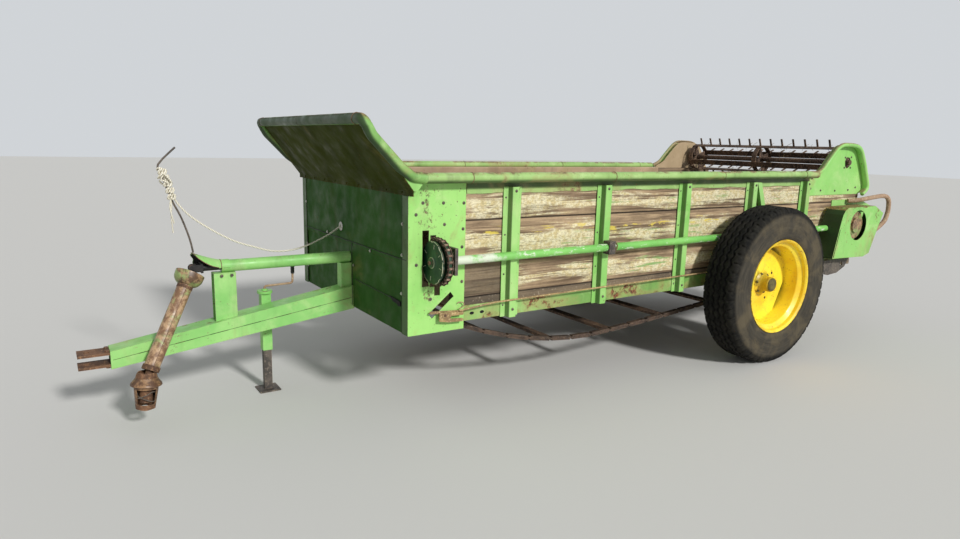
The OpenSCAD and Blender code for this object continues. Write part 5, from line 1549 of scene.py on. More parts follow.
@dataclass
class Wheels(Assembly):
    """Tyres with zigzag grooves and sipes, rolled rims, discs with chord edges, hubs."""

    centre_y: float = 0.920
    tyre_r: float = TYRE_R
    half_w: float = 0.114
    rim_r: float = 0.302
    rim_half: float = 0.104
    pitches: int = 54
    grooves: tuple[float, ...] = (-0.057, -0.019, 0.019, 0.057)
    groove_half: float = 0.0052
    groove_depth: float = 0.0120
    zig: float = 0.0075
    tread_half: float = 0.082
    sipe_depth: float = 0.0095
    disc_y: float = -0.036
    disc_t: float = 0.0068
    chord: float = 0.078
    lugs_r: float = 0.061
    holes_r: float = 0.118
    weld_y: float = -0.0330

    @staticmethod
    def ring(radius: Array | float, y: Array | float, angle: Array) -> Array:
        """Points round the wheel's axis."""
        return np.stack(np.broadcast_arrays(radius * np.cos(angle), y, radius * np.sin(angle)), -1)

    @property
    def side_profile(self) -> Array:
        """(radius, sideways) from the tread's middle over the shoulder to the bead's heel."""
        r, w, b, f = self.tyre_r, self.half_w, self.rim_r, self.rim_half
        points = [(r, 0.0), (r - 0.0004, 0.030), (r - 0.0010, w - 0.046), (r - 0.0040, w - 0.026),
                  (r - 0.014, w - 0.0135), (r - 0.040, w - 0.005), (r - 0.080, w - 0.0012),
                  (b + 0.050, w - 0.0004), (b + 0.022, w - 0.003), (b + 0.0045, f + 0.002),
                  (b + 0.0010, f - 0.0055), (b - 0.010, f - 0.012)]
        return smooth(points, 6)

    def tread(self) -> Part:
        """The tyre's outside: its profile turned, less zigzag grooves and shoulder sipes.

        At an angle t the groove lines lie at their place plus a triangle wave of t; depth is
        full within the groove's half width and fades over two millimetres. Sipes are short
        cuts across the shoulder, one a pitch.
        """
        profile = self.side_profile
        fine = spread(profile[profile[:, 0] > self.tyre_r - 0.052], 0.0026)
        coarse = spread(profile[profile[:, 0] <= self.tyre_r - 0.050], 0.009)
        half = np.concatenate([fine, coarse[1:]])
        full = np.concatenate([(half * (1, -1))[::-1], half[1:]])
        sides = 464
        t = full_turn(sides)
        r = np.broadcast_to(full[:, 0], (sides, len(full))).copy()
        a = np.broadcast_to(full[:, 1], (sides, len(full)))
        wave = t[:, None] * self.pitches / (2 * math.pi)
        tri = 4 * np.abs((wave % 1) - 0.5) - 1
        cut = np.zeros_like(r)
        for k, place in enumerate(self.grooves):
            off = np.abs(a - place - self.zig * tri * (1 if k % 2 else -1))
            cut = np.maximum(cut, np.clip((self.groove_half + 0.0018 - off) / 0.0020, 0, 1))
        cut = cut * np.clip((self.tread_half - np.abs(a)) / 0.004, 0, 1) * self.groove_depth
        phase = (wave + 0.25 * np.sign(a)) % 1
        sipe = np.clip((0.11 - np.abs(phase - 0.5)) / 0.04, 0, 1)
        band = np.clip((np.abs(a) - self.tread_half + 0.008) / 0.006, 0, 1)
        band = band * np.clip((r - self.tyre_r + 0.040) / 0.01, 0, 1)
        cut = np.maximum(cut, sipe * band * self.sipe_depth)
        rib = 0.0016 * np.exp(-((r - self.tyre_r + 0.058) / 0.004) ** 2)
        rib += 0.0012 * np.exp(-((r - self.rim_r - 0.022) / 0.003) ** 2)
        outer = self.ring(r - cut, a + np.sign(a) * rib * 0.5, t[:, None])
        heel = self.rim_half - 0.013
        inner = self.ring(np.array([self.rim_r - 0.010, self.rim_r - 0.006]),
                          np.array([heel, -heel]), t[:, None])
        rows = np.concatenate([outer, inner], 1)
        return rows.reshape(-1, 3), grid_faces(sides, len(full) + 2, True, True)

    def placed(self, part: Part, side: int) -> Part:
        """A wheel piece drawn about the origin (its outside at +y) set on its axle."""
        points, faces = part
        moved = np.asarray(points) + (WHEEL_X, self.centre_y, WHEEL_Z)
        return (moved, faces) if side > 0 else mirrored((moved, faces))

    def rim(self) -> Part:
        """The rolled drop-centre rim."""
        r, w = self.rim_r, self.rim_half
        line = [(r - 0.0025, w - 0.001), (r - 0.009, w - 0.0025), (r - 0.0165, w - 0.010),
                (r - 0.0185, w - 0.030), (r - 0.0475, w - 0.047), (r - 0.0475, 0.021 - w),
                (r - 0.0165, 0.010 - w), (r - 0.009, 0.0025 - w), (r - 0.0025, 0.001 - w)]
        return revolve(folded(line, 0.0048, 0.008, 5), sides=128)

    def disc(self) -> Part:
        """The dished wheel disc with four chord edges and a raised ring."""
        sides = 160
        t = full_turn(sides)
        edge = np.full(sides, self.rim_r - 0.0495)
        for a in np.radians([25, 115, 205, 295]):
            edge = np.minimum(edge, (self.rim_r - self.chord) / np.maximum(np.cos(t - a), 0.2))
        share = np.array([0.0, 0.10, 0.30, 0.42, 0.50, 0.62, 0.80, 0.95, 1.0])
        bulge = np.array([0.004, 0.004, 0.003, 0.001, -0.003, -0.003, 0.0, 0.001, 0.002])
        base = 0.046
        r = base + share[None] * (edge[:, None] - base)
        front = self.ring(r, bulge + self.disc_y, t[:, None])
        back = front - (0, self.disc_t, 0)
        rows = np.concatenate([front, back[:, ::-1]], 1)
        return rows.reshape(-1, 3), grid_faces(sides, 2 * len(share), True, True).tolist()

    def hub(self) -> Part:
        """The hub barrel with its flange, neck and rear boss."""
        profile = [(0.0251, -0.100), (0.046, -0.100), (0.048, -0.096), (0.048, -0.047),
                   (0.074, -0.045), (0.074, -0.029), (0.071, -0.027), (0.060, -0.018),
                   (0.051, -0.006), (0.0478, 0.006), (0.0478, 0.036), (0.0455, 0.041),
                   (0.0251, 0.041)]
        return revolve(fillet(profile, 0.003, 2, loop=True), sides=64)

    def cap(self) -> Part:
        """The dust cap over the bearing."""
        profile = [(0.0005, 0.0395), (0.0415, 0.0395), (0.0438, 0.043), (0.0425, 0.0475),
                   (0.036, 0.0505), (0.022, 0.0522), (0.0005, 0.0526)]
        return revolve(profile)

    def lugs(self) -> Part:
        """Six wheel bolts round the hub flange."""
        a = np.radians(np.arange(6) * 60 + 12)
        return bolt_heads(self.ring(self.lugs_r, -0.0275, a), (0, 1, 0), 0.0095, 0.011, Head.WASHER)

    def holes(self) -> Part:
        """Empty lug holes in the disc, as sunk plugs painted near black for the shade inside them."""
        plug = ((0.0005, -0.0365), (0.0085, -0.0365), (0.0085, -0.0330), (0.0005, -0.0330))
        places = self.ring(self.holes_r, 0.0, np.radians([62, 152, 242, 332]))
        return join([revolve(plug, place, sides=16) for place in places])

    def welds(self) -> Part:
        """Weld beads between the disc and the rim where they touch."""
        arcs = (np.radians(np.linspace(a - 15, a + 15, 40)) for a in (70, 160, 250, 340))
        return join([weld(self.ring(self.rim_r - 0.0505, self.weld_y, t), 0.003) for t in arcs])

    def valve(self) -> Part:
        """The valve stem beside the rim."""
        return revolve(((0.0005, 0.0), (0.0045, 0.0), (0.0045, 0.028), (0.003, 0.030),
                        (0.003, 0.040), (0.0005, 0.0405)), (0.200, -0.034, 0.147),
                       (-0.2, 0.95, -0.15), 12)

    def build(self) -> None:
        """Both wheels."""
        for name, side in (("left", 1), ("right", -1)):
            body = f"wheel_{name}"
            self.put(f"tyre_{name}_rubber", self.placed(self.tread(), side), Finish.RUBBER, body,
                     sharp=50, stand_for=(f"tyre_{name}",))
            self.put(f"rim_{name}_ring", self.placed(self.rim(), side), Finish.YELLOW, body,
                     sharp=50, stand_for=(f"rim_{name}",))
            for piece, part, finish in (
                    ("disc", self.disc(), Finish.YELLOW), ("hub", self.hub(), Finish.YELLOW),
                    ("cap", self.cap(), Finish.GREASE), ("lugs", self.lugs(), Finish.GREASE),
                    ("holes", self.holes(), Finish.HOLE_SHADE), ("welds", self.welds(), Finish.YELLOW),
                    ("valve", self.valve(), Finish.BLACK)):
                self.put(f"rim_{name}_{piece}", self.placed(part, side), finish, body)


@dataclass
class FrontPanels(Assembly):
    """Bolts, dark beads along the laps and the rope's eye on the front sheets and side panels."""

    eye: tuple[float, float] = (-0.098, 0.871)
    panel_bolts_at: tuple[tuple[float, float], ...] = (
        (0.072, 0.587), (0.181, 0.584), (0.293, 0.581), (0.037, 0.534), (0.188, 0.483),
        (0.291, 0.457), (0.287, 0.370), (0.117, 0.130), (0.290, 0.200), (0.040, 0.300))
    front_bolts_at: tuple[tuple[float, float], ...] = (
        (0.663, 0.970), (0.659, 0.824), (0.081, 0.680), (-0.660, 0.960), (-0.655, 0.700),
        (0.655, 0.640), (-0.640, 0.560), (0.300, 0.790), (-0.300, 0.815))

    def panel_bolts(self) -> Part:
        """Round heads on the side panel, with their washers."""
        return bolt_heads(at_side(self.panel_bolts_at, LAY.side_y - HAIR), (0, 1, 0), 0.0062, 0.0050,
                          Head.WASHER)

    def front_bolts(self) -> Part:
        """Round heads on the front sheets."""
        places = [(LAY.x(-0.0035), y, z) for y, z in self.front_bolts_at]
        return bolt_heads(places, (1, 0, 0), 0.0062, 0.0045, Head.WASHER)

    def seam(self) -> Part:
        """Dark beads along the laps of the front sheets."""
        across = [(LAY.x(-0.003), y, 0.8045 + 0.0008 * math.sin(y * 40))
                  for y in np.linspace(-0.70, 0.70, 60)]
        upright = [(LAY.x(-0.003), 0.0605, z) for z in np.linspace(0.455, 0.800, 20)]
        return join([rod(0.0018, 6, across, up=(1, 0, 0)),
                     rod(0.0016, 6, upright, up=(1, 0, 0))])

    def corner_bead(self) -> Part:
        """The folded corner flange's edge on the front sheet."""
        heights = np.linspace(0.447, 1.100, 40)
        return join([rod(0.0016, 6, [(LAY.x(-0.0026), y, z) for z in heights], up=(1, 0, 0))
                     for y in (LAY.side_y - 0.0605, -LAY.side_y + 0.0605)])

    def eye_ring(self) -> Part:
        """The eye's rolled rim where the rope comes out."""
        profile = [(0.0065, -0.001), (0.0245, -0.001), (0.0255, 0.002), (0.0215, 0.0048),
                   (0.0120, 0.0064), (0.0070, 0.0035)]
        return revolve(profile, (LAY.x(0), self.eye[0], self.eye[1]), (1, 0, 0), 40)

    def build(self) -> None:
        """All marks of both sides."""
        self.put_all((
            ("panel_left_bolts", self.panel_bolts(), Finish.IRON),
            ("panel_right_bolts", mirrored(self.panel_bolts()), Finish.IRON),
            ("front_bolts", self.front_bolts(), Finish.BRIGHT),
            ("front_seams", self.seam(), Finish.BLACK),
            ("front_corner_beads", self.corner_bead(), Finish.BLACK),
            ("rope_eye_rim", self.eye_ring(), Finish.BRIGHT, "rope_eye")))


@dataclass
class Driveline(Assembly):
    """Guard tube, hood, joint, and the hanging shaft with its upper bell and lower drum."""

    axis_z: float = 0.715
    joint_x: float = 2.265
    hang: tuple[float, float, float] = (0.452, 0.291, -0.843)
    drop: tuple[float, float, float] = (0.094, 0.043, -0.995)
    shaft: float = 0.555
    shield_r: float = 0.035
    drum_r: float = 0.0535
    drum_l: float = 0.140
    bell_r: float = 0.0675
    hood_from: float = 2.096
    hood_to: float = 2.265
    hood_side: float = 2.150
    drum_slope: float = 0.11
    window: tuple[float, float] = (0.040, 0.112)
    window_half: float = 0.95
    seam_turn: float = 0.5
    sheet: float = 0.003
    bell_sheet: float = 0.0028
    cone_sheet: float = 0.0026
    ball_r: tuple[float, float] = (0.0458, 0.0425)
    band_wave: float = 0.0022
    tube_r: float = 0.030
    hood_foot: float = 2.135
    hood_r: tuple[float, float] = (0.0305, 0.0435)
    visor: tuple[float, float] = (-0.08, math.pi + 0.53)

    @property
    def joint(self) -> Array:
        """The upper joint's centre."""
        return np.array([self.joint_x, 0.0, self.axis_z])

    @property
    def along(self) -> Array:
        """Direction of the hanging shaft."""
        return unit(np.asarray(self.hang, float))

    @property
    def low_joint(self) -> Array:
        """The lower joint's centre."""
        return self.joint + self.shaft * self.along

    @property
    def down(self) -> Array:
        """Direction of the drum."""
        return unit(np.asarray(self.drop, float))

    def at(self, run: float, radius: float = 0.0, angle: float = 0.0) -> Array:
        """A point beside the hanging shaft's axis."""
        n = self.along
        u = unit(np.cross((0.0, 0, 1), n))
        return (self.joint + run * n + radius * math.cos(angle) * u
                + radius * math.sin(angle) * np.cross(n, u))

    def on_shaft(self, profile: Sequence, sides: int = 48) -> Part:
        """A profile turned about the hanging shaft."""
        return revolve(profile, self.joint, self.along, sides)

    def on_drum(self, profile: Sequence, sides: int = 64, **more: float) -> Part:
        """A profile turned about the drum's axis."""
        return revolve(profile, self.low_joint, self.down, sides, **more)

    def drum_wire(self, thick: float, run: float, radius: float, swing: float = 0.0) -> Part:
        """A wire round the drum's axis, bent along and across it by the swing."""
        n = self.down
        u = unit(np.cross((1.0, 0, 0), n))
        t = full_turn(64)[:, None]
        r = radius * (1 + 0.12 * swing * np.sin(3 * t))
        path = (self.low_joint + (run + 0.012 * swing * np.sin(2 * t)) * n
                + r * (np.cos(t) * u + np.sin(t) * np.cross(n, u)))
        return rod(thick, 8, path, up=self.drop, loop=True)

    def shield(self) -> Part:
        """The shield tube with shallow dents."""
        run = np.linspace(0.062, 0.514, 60)
        dents = 1 - 0.012 * np.abs(np.sin(run * 31) * np.sin(run * 13 + 1))
        return rod(self.shield_r, 40, [self.at(r) for r in run], up=(0, 1, 0), scale=dents)

    def shield_seam(self) -> Part:
        """The welded long seam of the tube and its end band."""
        line = [self.at(r, self.shield_r, self.seam_turn) for r in np.linspace(0.070, 0.488, 50)]
        band = ((0.0342, -0.008), (0.0368, -0.007), (0.0368, 0.007), (0.0342, 0.008))
        return join([rod(0.0012, 6, line, up=(0, 1, 0)),
                     revolve(band, self.at(0.100), self.along, 40)])

    def upper_bell(self) -> Part:
        """The bell over the joint, open upwards, with a rolled rim."""
        line = [(0.0368, 0.088), (0.047, 0.082), (0.058, 0.070), (0.0645, 0.054),
                (self.bell_r - 0.0015, 0.027)]
        return self.on_shaft(folded(smooth(line, 4), self.bell_sheet, 0.0), 72)

    def collar(self) -> Part:
        """The clamp ring round the shield's lower end."""
        return self.on_shaft([(0.0352, 0.491), (0.0385, 0.491), (0.0393, 0.495), (0.0393, 0.511),
                              (0.0385, 0.515), (0.0352, 0.515)])

    def ball(self) -> Part:
        """The ball over the lower joint: half circles of radius from the collar to the cone."""
        t = np.linspace(0.95, 1.95, 16)
        outer, inner = (np.stack([r * np.sin(t), -0.008 - r * np.cos(t)], -1) for r in self.ball_r)
        return self.on_drum(np.concatenate([outer, inner[::-1]]))

    def cone(self) -> Part:
        """The cone that flares from the ball over the drum's top, its rim turned down."""
        line = [(0.0425, -0.014), (0.0470, -0.006), (0.0560, 0.007), (0.0640, 0.017),
                (self.bell_r - 0.0016, 0.0235)]
        flange = [(self.bell_r - 0.002, 0.0245), (self.drum_r - 0.002, 0.0245)]
        return join([self.on_drum(folded(shape, self.cone_sheet, 0.0), 72)
                     for shape in (smooth(line, 3), flange)])

    def taper(self, run: float) -> float:
        """The drum's radius at a run below the joint: it narrows evenly."""
        return self.drum_r - 0.0015 - self.drum_slope * (run - 0.024)

    def drum(self) -> Part:
        """The drum round the yoke: a ring above, an open stretch with a window, dented a little."""
        low, high = self.window
        top = folded([(self.taper(0.024), 0.024), (self.taper(low), low)], self.sheet, 0.0)
        middle = folded([(self.taper(low), low - 0.0002), (self.taper(high), high + 0.0002)],
                        self.sheet, 0.0)
        return join([self.on_drum(top), self.on_drum(middle, arc=2 * (math.pi - self.window_half),
                                                     start=self.window_half + 0.09)])

    def drum_band(self) -> Part:
        """The rusted lower band of the drum, its edge bent in and out."""
        line = [(self.taper(run), run) for run in (self.window[1], 0.120, self.drum_l - 0.003)]
        points, faces = self.on_drum(folded(line, self.sheet, 0.0), 72)
        off = points - self.low_joint
        near = np.clip((off @ self.down - 0.122) / 0.02, 0, 1)
        wave = near * self.band_wave * (1 + np.sin(np.arctan2(off[:, 1], off[:, 0]) * 4))
        return points - wave[:, None] * self.down, faces

    def rims(self) -> Part:
        """Wire edges of the upper bell, the cone and the drum."""
        ring = [self.at(0.0295, 0.0652, a) for a in full_turn(64)]
        return join([rod(0.0022, 8, ring, up=self.hang, loop=True),
                     self.drum_wire(0.0016, 0.0235, self.bell_r - 0.0017),
                     self.drum_wire(0.0016, 0.133, self.taper(0.133))])

    def yoke(self) -> Part:
        """The open hub with its plain bore, its collar and lock ring."""
        return self.on_drum([(0.0176, 0.046), (0.0275, 0.046), (0.0275, 0.070), (0.0278, 0.074),
                             (0.0278, 0.090), (0.0270, 0.094), (0.0270, 0.101), (0.0255, 0.104),
                             (0.0176, 0.104)], 48)

    def wire(self) -> Part:
        """Two bent wires round the hub inside the drum."""
        return join([self.drum_wire(0.0024, 0.064, 0.040, 0.8),
                     self.drum_wire(0.0022, 0.088, 0.042, -0.7)])

    def guard_tube(self) -> Part:
        """The tube over the shaft between the sheet and the hood."""
        return rod(self.tube_r, 36, self.round_axis(np.linspace(1.4605, 2.134, 40), 0.0, 0.0))

    def round_axis(self, x: Array, radius: Array | float, angle: Array | float) -> Array:
        """Points round the guard tube's axis."""
        return np.stack(np.broadcast_arrays(x, radius * np.cos(angle),
                                            self.axis_z + radius * np.sin(angle)), -1)

    def hood_radius(self, x: Array) -> Array:
        """Inner radius of the hood: it grows with the share of its length to the power 1.3."""
        foot, gain = self.hood_r
        share = np.clip((x - self.hood_foot) / (self.hood_to - self.hood_foot), 0, 1)
        return foot + gain * share ** 1.3

    def hood_front(self, a: Array) -> Array:
        """X of the hood's front edge at an angle: furthest at the top, cut back on the near side."""
        side = np.where(a > math.pi / 2, self.hood_to - 0.022, self.hood_side)
        torn = 0.004 * np.sin(9 * a) * np.clip(a - 0.6, 0, 1)
        return side + (self.hood_to - side) * np.clip(np.sin(a), 0, 1) ** 0.9 + torn

    def hood_rows(self, start: float, share: Array, a: Array, off: float) -> Array:
        """Rows of points of the visor at shares of its length, at an offset from its inside."""
        x = start + share[:, None] * (self.hood_front(a)[None] - start)
        return self.round_axis(x, self.hood_radius(x) + off, a)

    def hood(self) -> Part:
        """The visor: a half pipe whose radius grows to its slanted front edge."""
        n, m = 30, 40
        a = np.linspace(-0.10, math.pi + 0.55, m)
        inner, outer = (self.hood_rows(self.hood_from, np.linspace(0, 1, n), a, off)
                        for off in (0.0, self.sheet))
        rows = np.concatenate([inner, outer[:, ::-1]], 1)
        k = 2 * m
        faces = grid_faces(n, k, False, True).tolist()
        faces += [[j, j + 1, k - 2 - j, k - 1 - j] for j in range(m - 1)]
        last = (n - 1) * k
        faces += [[last + j, last + k - 1 - j, last + k - 2 - j, last + j + 1] for j in range(m - 1)]
        return rows.reshape(-1, 3), faces

    def hood_lining(self) -> Part:
        """The inside of the visor, painted near black as its shade, a hair within it."""
        n, m = 30, 40
        rows = self.hood_rows(self.hood_from + 0.03, np.linspace(0, 0.985, n),
                              np.linspace(*self.visor, m), -0.0006)
        return rows.reshape(-1, 3), grid_faces(n, m)[:, ::-1]

    def hood_rim(self) -> Part:
        """The bead along the visor's edge and the crease where it starts to flare."""
        a = np.linspace(*self.visor, 80)
        x = self.hood_front(a)
        edge = self.round_axis(x, self.hood_radius(x) + 0.0012, a)
        crease = self.round_axis(self.hood_foot + 0.002, self.hood_r[0] + 0.003, a)
        return join([rod(0.0018, 8, edge - (0.0015, 0, 0), up=(1, 0, 0)),
                     rod(0.0022, 8, crease, up=(1, 0, 0))])

    def build(self) -> None:
        """Fixed pieces, then those that swing."""
        self.put_all((
            ("guard_tube_pipe", self.guard_tube(), Finish.TONGUE_GREEN, "guard_tube"),
            ("guard_hood_shell", self.hood(), Finish.TONGUE_GREEN, "guard_hood"),
            ("guard_hood_lining", self.hood_lining(), Finish.HOLE_SHADE),
            ("guard_hood_rim", self.hood_rim(), Finish.BROWN_RUST)))
        swing = "hanging_shaft"
        self.put_all((
            ("shield_pipe", self.shield(), Finish.SHIELD, "shield"),
            ("shield_seams", self.shield_seam(), Finish.BROWN_RUST),
            ("bell_upper", self.upper_bell(), Finish.BELL, "shaft_bells"),
            ("shield_collar", self.collar(), Finish.BROWN_RUST),
            ("bell_ball", self.ball(), Finish.BROWN_RUST),
            ("bell_cone", self.cone(), Finish.DRUM),
            ("bell_drum", self.drum(), Finish.DRUM),
            ("drum_band", self.drum_band(), Finish.BROWN_RUST),
            ("bell_rims", self.rims(), Finish.BROWN_RUST),
            ("yoke_hub", self.yoke(), Finish.BROWN_RUST),
            ("bell_wire", self.wire(), Finish.IRON)), swing)


@dataclass
class Tongue(Assembly):
    """Details of the tongue: the seam of its two channels, welds and bolts."""

    reach: float = 1.180
    rear_top: float = 0.559
    front_top: float = 0.3675
    rear_low: float = 0.432
    front_low: float = 0.2825
    half_w: float = 0.055

    def height(self, reach: float, share: float) -> float:
        """Height at a reach from the front sheet, from the lower (0) to the upper face (1)."""
        k = reach / self.reach
        low = self.rear_low + (self.front_low - self.rear_low) * k
        top = self.rear_top + (self.front_top - self.rear_top) * k
        return low + (top - low) * share

    def seams(self) -> Part:
        """Broken weld beads along the middle of both sides."""
        parts = []
        for side in (1, -1):
            for start in np.arange(0.02, 1.10, 0.16):
                reach = np.linspace(start, start + 0.085, 12)
                line = np.stack([(LAY.x(-r), side * (self.half_w + 0.0004), self.height(r, 0.5))
                                 for r in reach])
                parts.append(weld(line, 0.0016))
            reach = np.linspace(0.005, 1.170, 60)
            line = np.stack([(LAY.x(-r), side * self.half_w, self.height(r, 0.5)) for r in reach])
            parts.append(rod(0.0011, 6, line, up=(0, 1, 0)))
        return join(parts)

    def strap_bolts(self) -> Part:
        """Bolts through the straps, from above and from below."""
        return join([bolt_heads([(2.655, y, z) for y in (0.026, -0.026)], (0, 0, way), 0.012, 0.009,
                                Head.HEX) for z, way in ((0.3612, 1), (0.2926, -1))])

    def post_bolt(self) -> Part:
        """The bolts near the top of the support post."""
        places = [(x, side * 0.0353, 0.672) for x in (2.139, 2.091) for side in (1, -1)]
        normals = [(0, side, 0) for x in (0, 1) for side in (1, -1)]
        return bolt_heads(places, normals, 0.008, 0.006, Head.HEX)

    def build(self) -> None:
        """Seams and bolts."""
        self.put_all((
            ("tongue_seams", self.seams(), Finish.DEEP_GREEN),
            ("strap_bolts", self.strap_bolts(), Finish.BROWN_RUST),
            ("post_bolts", self.post_bolt(), Finish.IRON)))


@dataclass
class SideDrive(Assembly):
    """The lobed front disc with its worn edge, and the roller chain link by link."""

    back: float = 0.128
    axis_y: float = 0.778
    axis_z: float = 0.800
    radius: float = 0.104
    teeth: int = 22
    straight: int = 4
    disc_from: float = 0.0295
    disc_to: float = 0.0372
    lobe_at: float = 0.114
    lobe_r: float = 0.0170
    link_end: float = 0.0092
    link_waist: float = 0.0062

    def around(self, local: Array) -> Array:
        """(forward from the sprocket's plane, towards +y, upwards) to space."""
        p = np.asarray(local, float)
        return p + (LAY.x(self.back), self.axis_y, self.axis_z)

    def on_face(self, x: Array | float, radius: Array, t: Array | float) -> Array:
        """Points in front of the sprocket at a radius and at angles from straight up."""
        return self.around(np.stack(np.broadcast_arrays(x, radius * np.sin(t),
                                                        radius * np.cos(t)), -1))

    def disc_edge(self, t: Array) -> Array:
        """Radius of the disc's edge at angles: a circle less eight round bites."""
        phase = (t + math.pi / 8) % (math.pi / 4) - math.pi / 8
        inside = self.lobe_r ** 2 - (self.lobe_at * np.sin(phase)) ** 2
        bite = self.lobe_at * np.cos(phase) - np.sqrt(np.maximum(inside, 0))
        return np.where(inside > 0, np.minimum(self.radius - 0.003, bite), self.radius - 0.003)

    def disc(self) -> Part:
        """The dished disc: forward place follows a rim lip, a hollow and a boss."""
        t = full_turn(192)
        edge = self.disc_edge(t)[:, None]
        share = np.array([0.0, 0.20, 0.24, 0.34, 0.60, 0.84, 0.92, 0.97, 1.0])
        bulge = np.array([0.0040, 0.0040, 0.0010, -0.0016, -0.0018, -0.0004, 0.0012, 0.0010,
                          -0.0008])
        base = 0.004
        r = base + share[None] * (edge - base)
        front, back = (self.on_face(x, r, t[:, None]) for x in (self.disc_to + bulge, self.disc_from))
        grid = np.concatenate([front, back[:, ::-1]], 1)
        return grid.reshape(-1, 3), grid_faces(len(t), 2 * len(share), True, True)

    def worn_edge(self) -> Part:
        """Rubbed stretches of the disc's rim, as thin beads with gaps between them."""
        parts = []
        for start, stop in ((-10, 30), (36, 74), (80, 118), (128, 160), (200, 236)):
            t = np.radians(np.linspace(start, stop, 16))
            r = self.disc_edge(t) - 0.0014
            parts.append(rod(0.0014, 6, self.on_face(self.disc_to + 0.0003, r, t), up=(1, 0, 0)))
        return join(parts)

    def marks(self) -> Part:
        """Bright rubbed ridges across the disc and the ring round its bolt."""
        parts = []
        for a in (12, 58, 103, 190, 250, 305):
            line = self.on_face(self.disc_to - 0.0004, np.linspace(0.066, 0.088, 6), math.radians(a))
            parts.append(carry(circle(0.0016, 6, 0.8), line, up=(1, 0, 0)))
        ring = [(0.0225, 0.0385), (0.0262, 0.0385), (0.0260, 0.0412), (0.0228, 0.0418)]
        parts.append(revolve(ring, self.around((0, 0, 0)), (1, 0, 0), 40))
        return join(parts)

    def hub_bolt(self) -> Part:
        """The bolt in the disc's middle."""
        return bolt_heads(self.around((0.0482, 0, 0)), (1, 0, 0), 0.0105, 0.007, Head.HEX)

    def centres(self) -> Array:
        """(y, z) of every roller: an inward run, half a turn, and an inward run again."""
        pitch = 2 * self.radius * math.sin(math.pi / self.teeth)
        t = np.arange(self.teeth // 2 + 1) * 2 * math.pi / self.teeth
        arc = np.stack([self.radius * np.sin(t), -self.radius * np.cos(t)], -1)
        run = np.arange(self.straight, 0, -1) * pitch
        low = np.stack([-run, np.full(self.straight, -self.radius)], -1)
        return np.concatenate([low, arc, (low * (1, -1))[::-1]])

    def plates(self, odd: int) -> Part:
        """Waisted side plates of every second link, on both sides of the rollers."""
        centres = self.centres()
        a = np.linspace(-math.pi / 2, math.pi / 2, 7)
        parts = []
        for k in range(odd, len(centres) - 1, 2):
            p, q = centres[k], centres[k + 1]
            u = unit(q - p)
            v = np.array([-u[1], u[0]])
            end = self.link_end * np.stack([np.cos(a), np.sin(a)], -1)
            end, middle, waist = end[:, :1] * u + end[:, 1:] * v, (p + q) / 2, self.link_waist * v
            loop = np.concatenate([q + end, [middle + waist], p - end, [middle - waist]])
            near, far = (0.0108, 0.0130) if odd else (0.0086, 0.0106)
            for depth in ((near, far), (-far, -near)):
                parts.append(prism(loop, lambda flat: self.around(flat[:, [2, 0, 1]]), depth))
        return join(parts)

    def rollers(self) -> Part:
        """Rollers between the plates and the riveted pin ends outside them."""
        half = [(0.0004, 0.0142), (0.0030, 0.0142), (0.0034, 0.0135), (0.0034, 0.0086),
                (0.0058, 0.0084)]
        profile = [(r, -x) for r, x in half] + half[::-1]
        return join([revolve(profile, self.around((0, y, z)), (1, 0, 0), 12)
                     for y, z in self.centres()])

    def build(self) -> None:
        """Disc, its worn marks and the chain."""
        self.put_all((
            ("drive_disc", self.disc(), Finish.DRIVE_GREEN),
            ("drive_disc_edge", self.worn_edge(), Finish.PALE_WEAR),
            ("drive_disc_marks", self.marks(), Finish.PALE_WEAR),
            ("drive_hub_bolt", self.hub_bolt(), Finish.BROWN_RUST),
            ("drive_chain_outer", self.plates(1), Finish.CHAIN_RUST, "side_chain"),
            ("drive_chain_inner", self.plates(0), Finish.DARK_RUST),
            ("drive_chain_rollers", self.rollers(), Finish.PEG)))


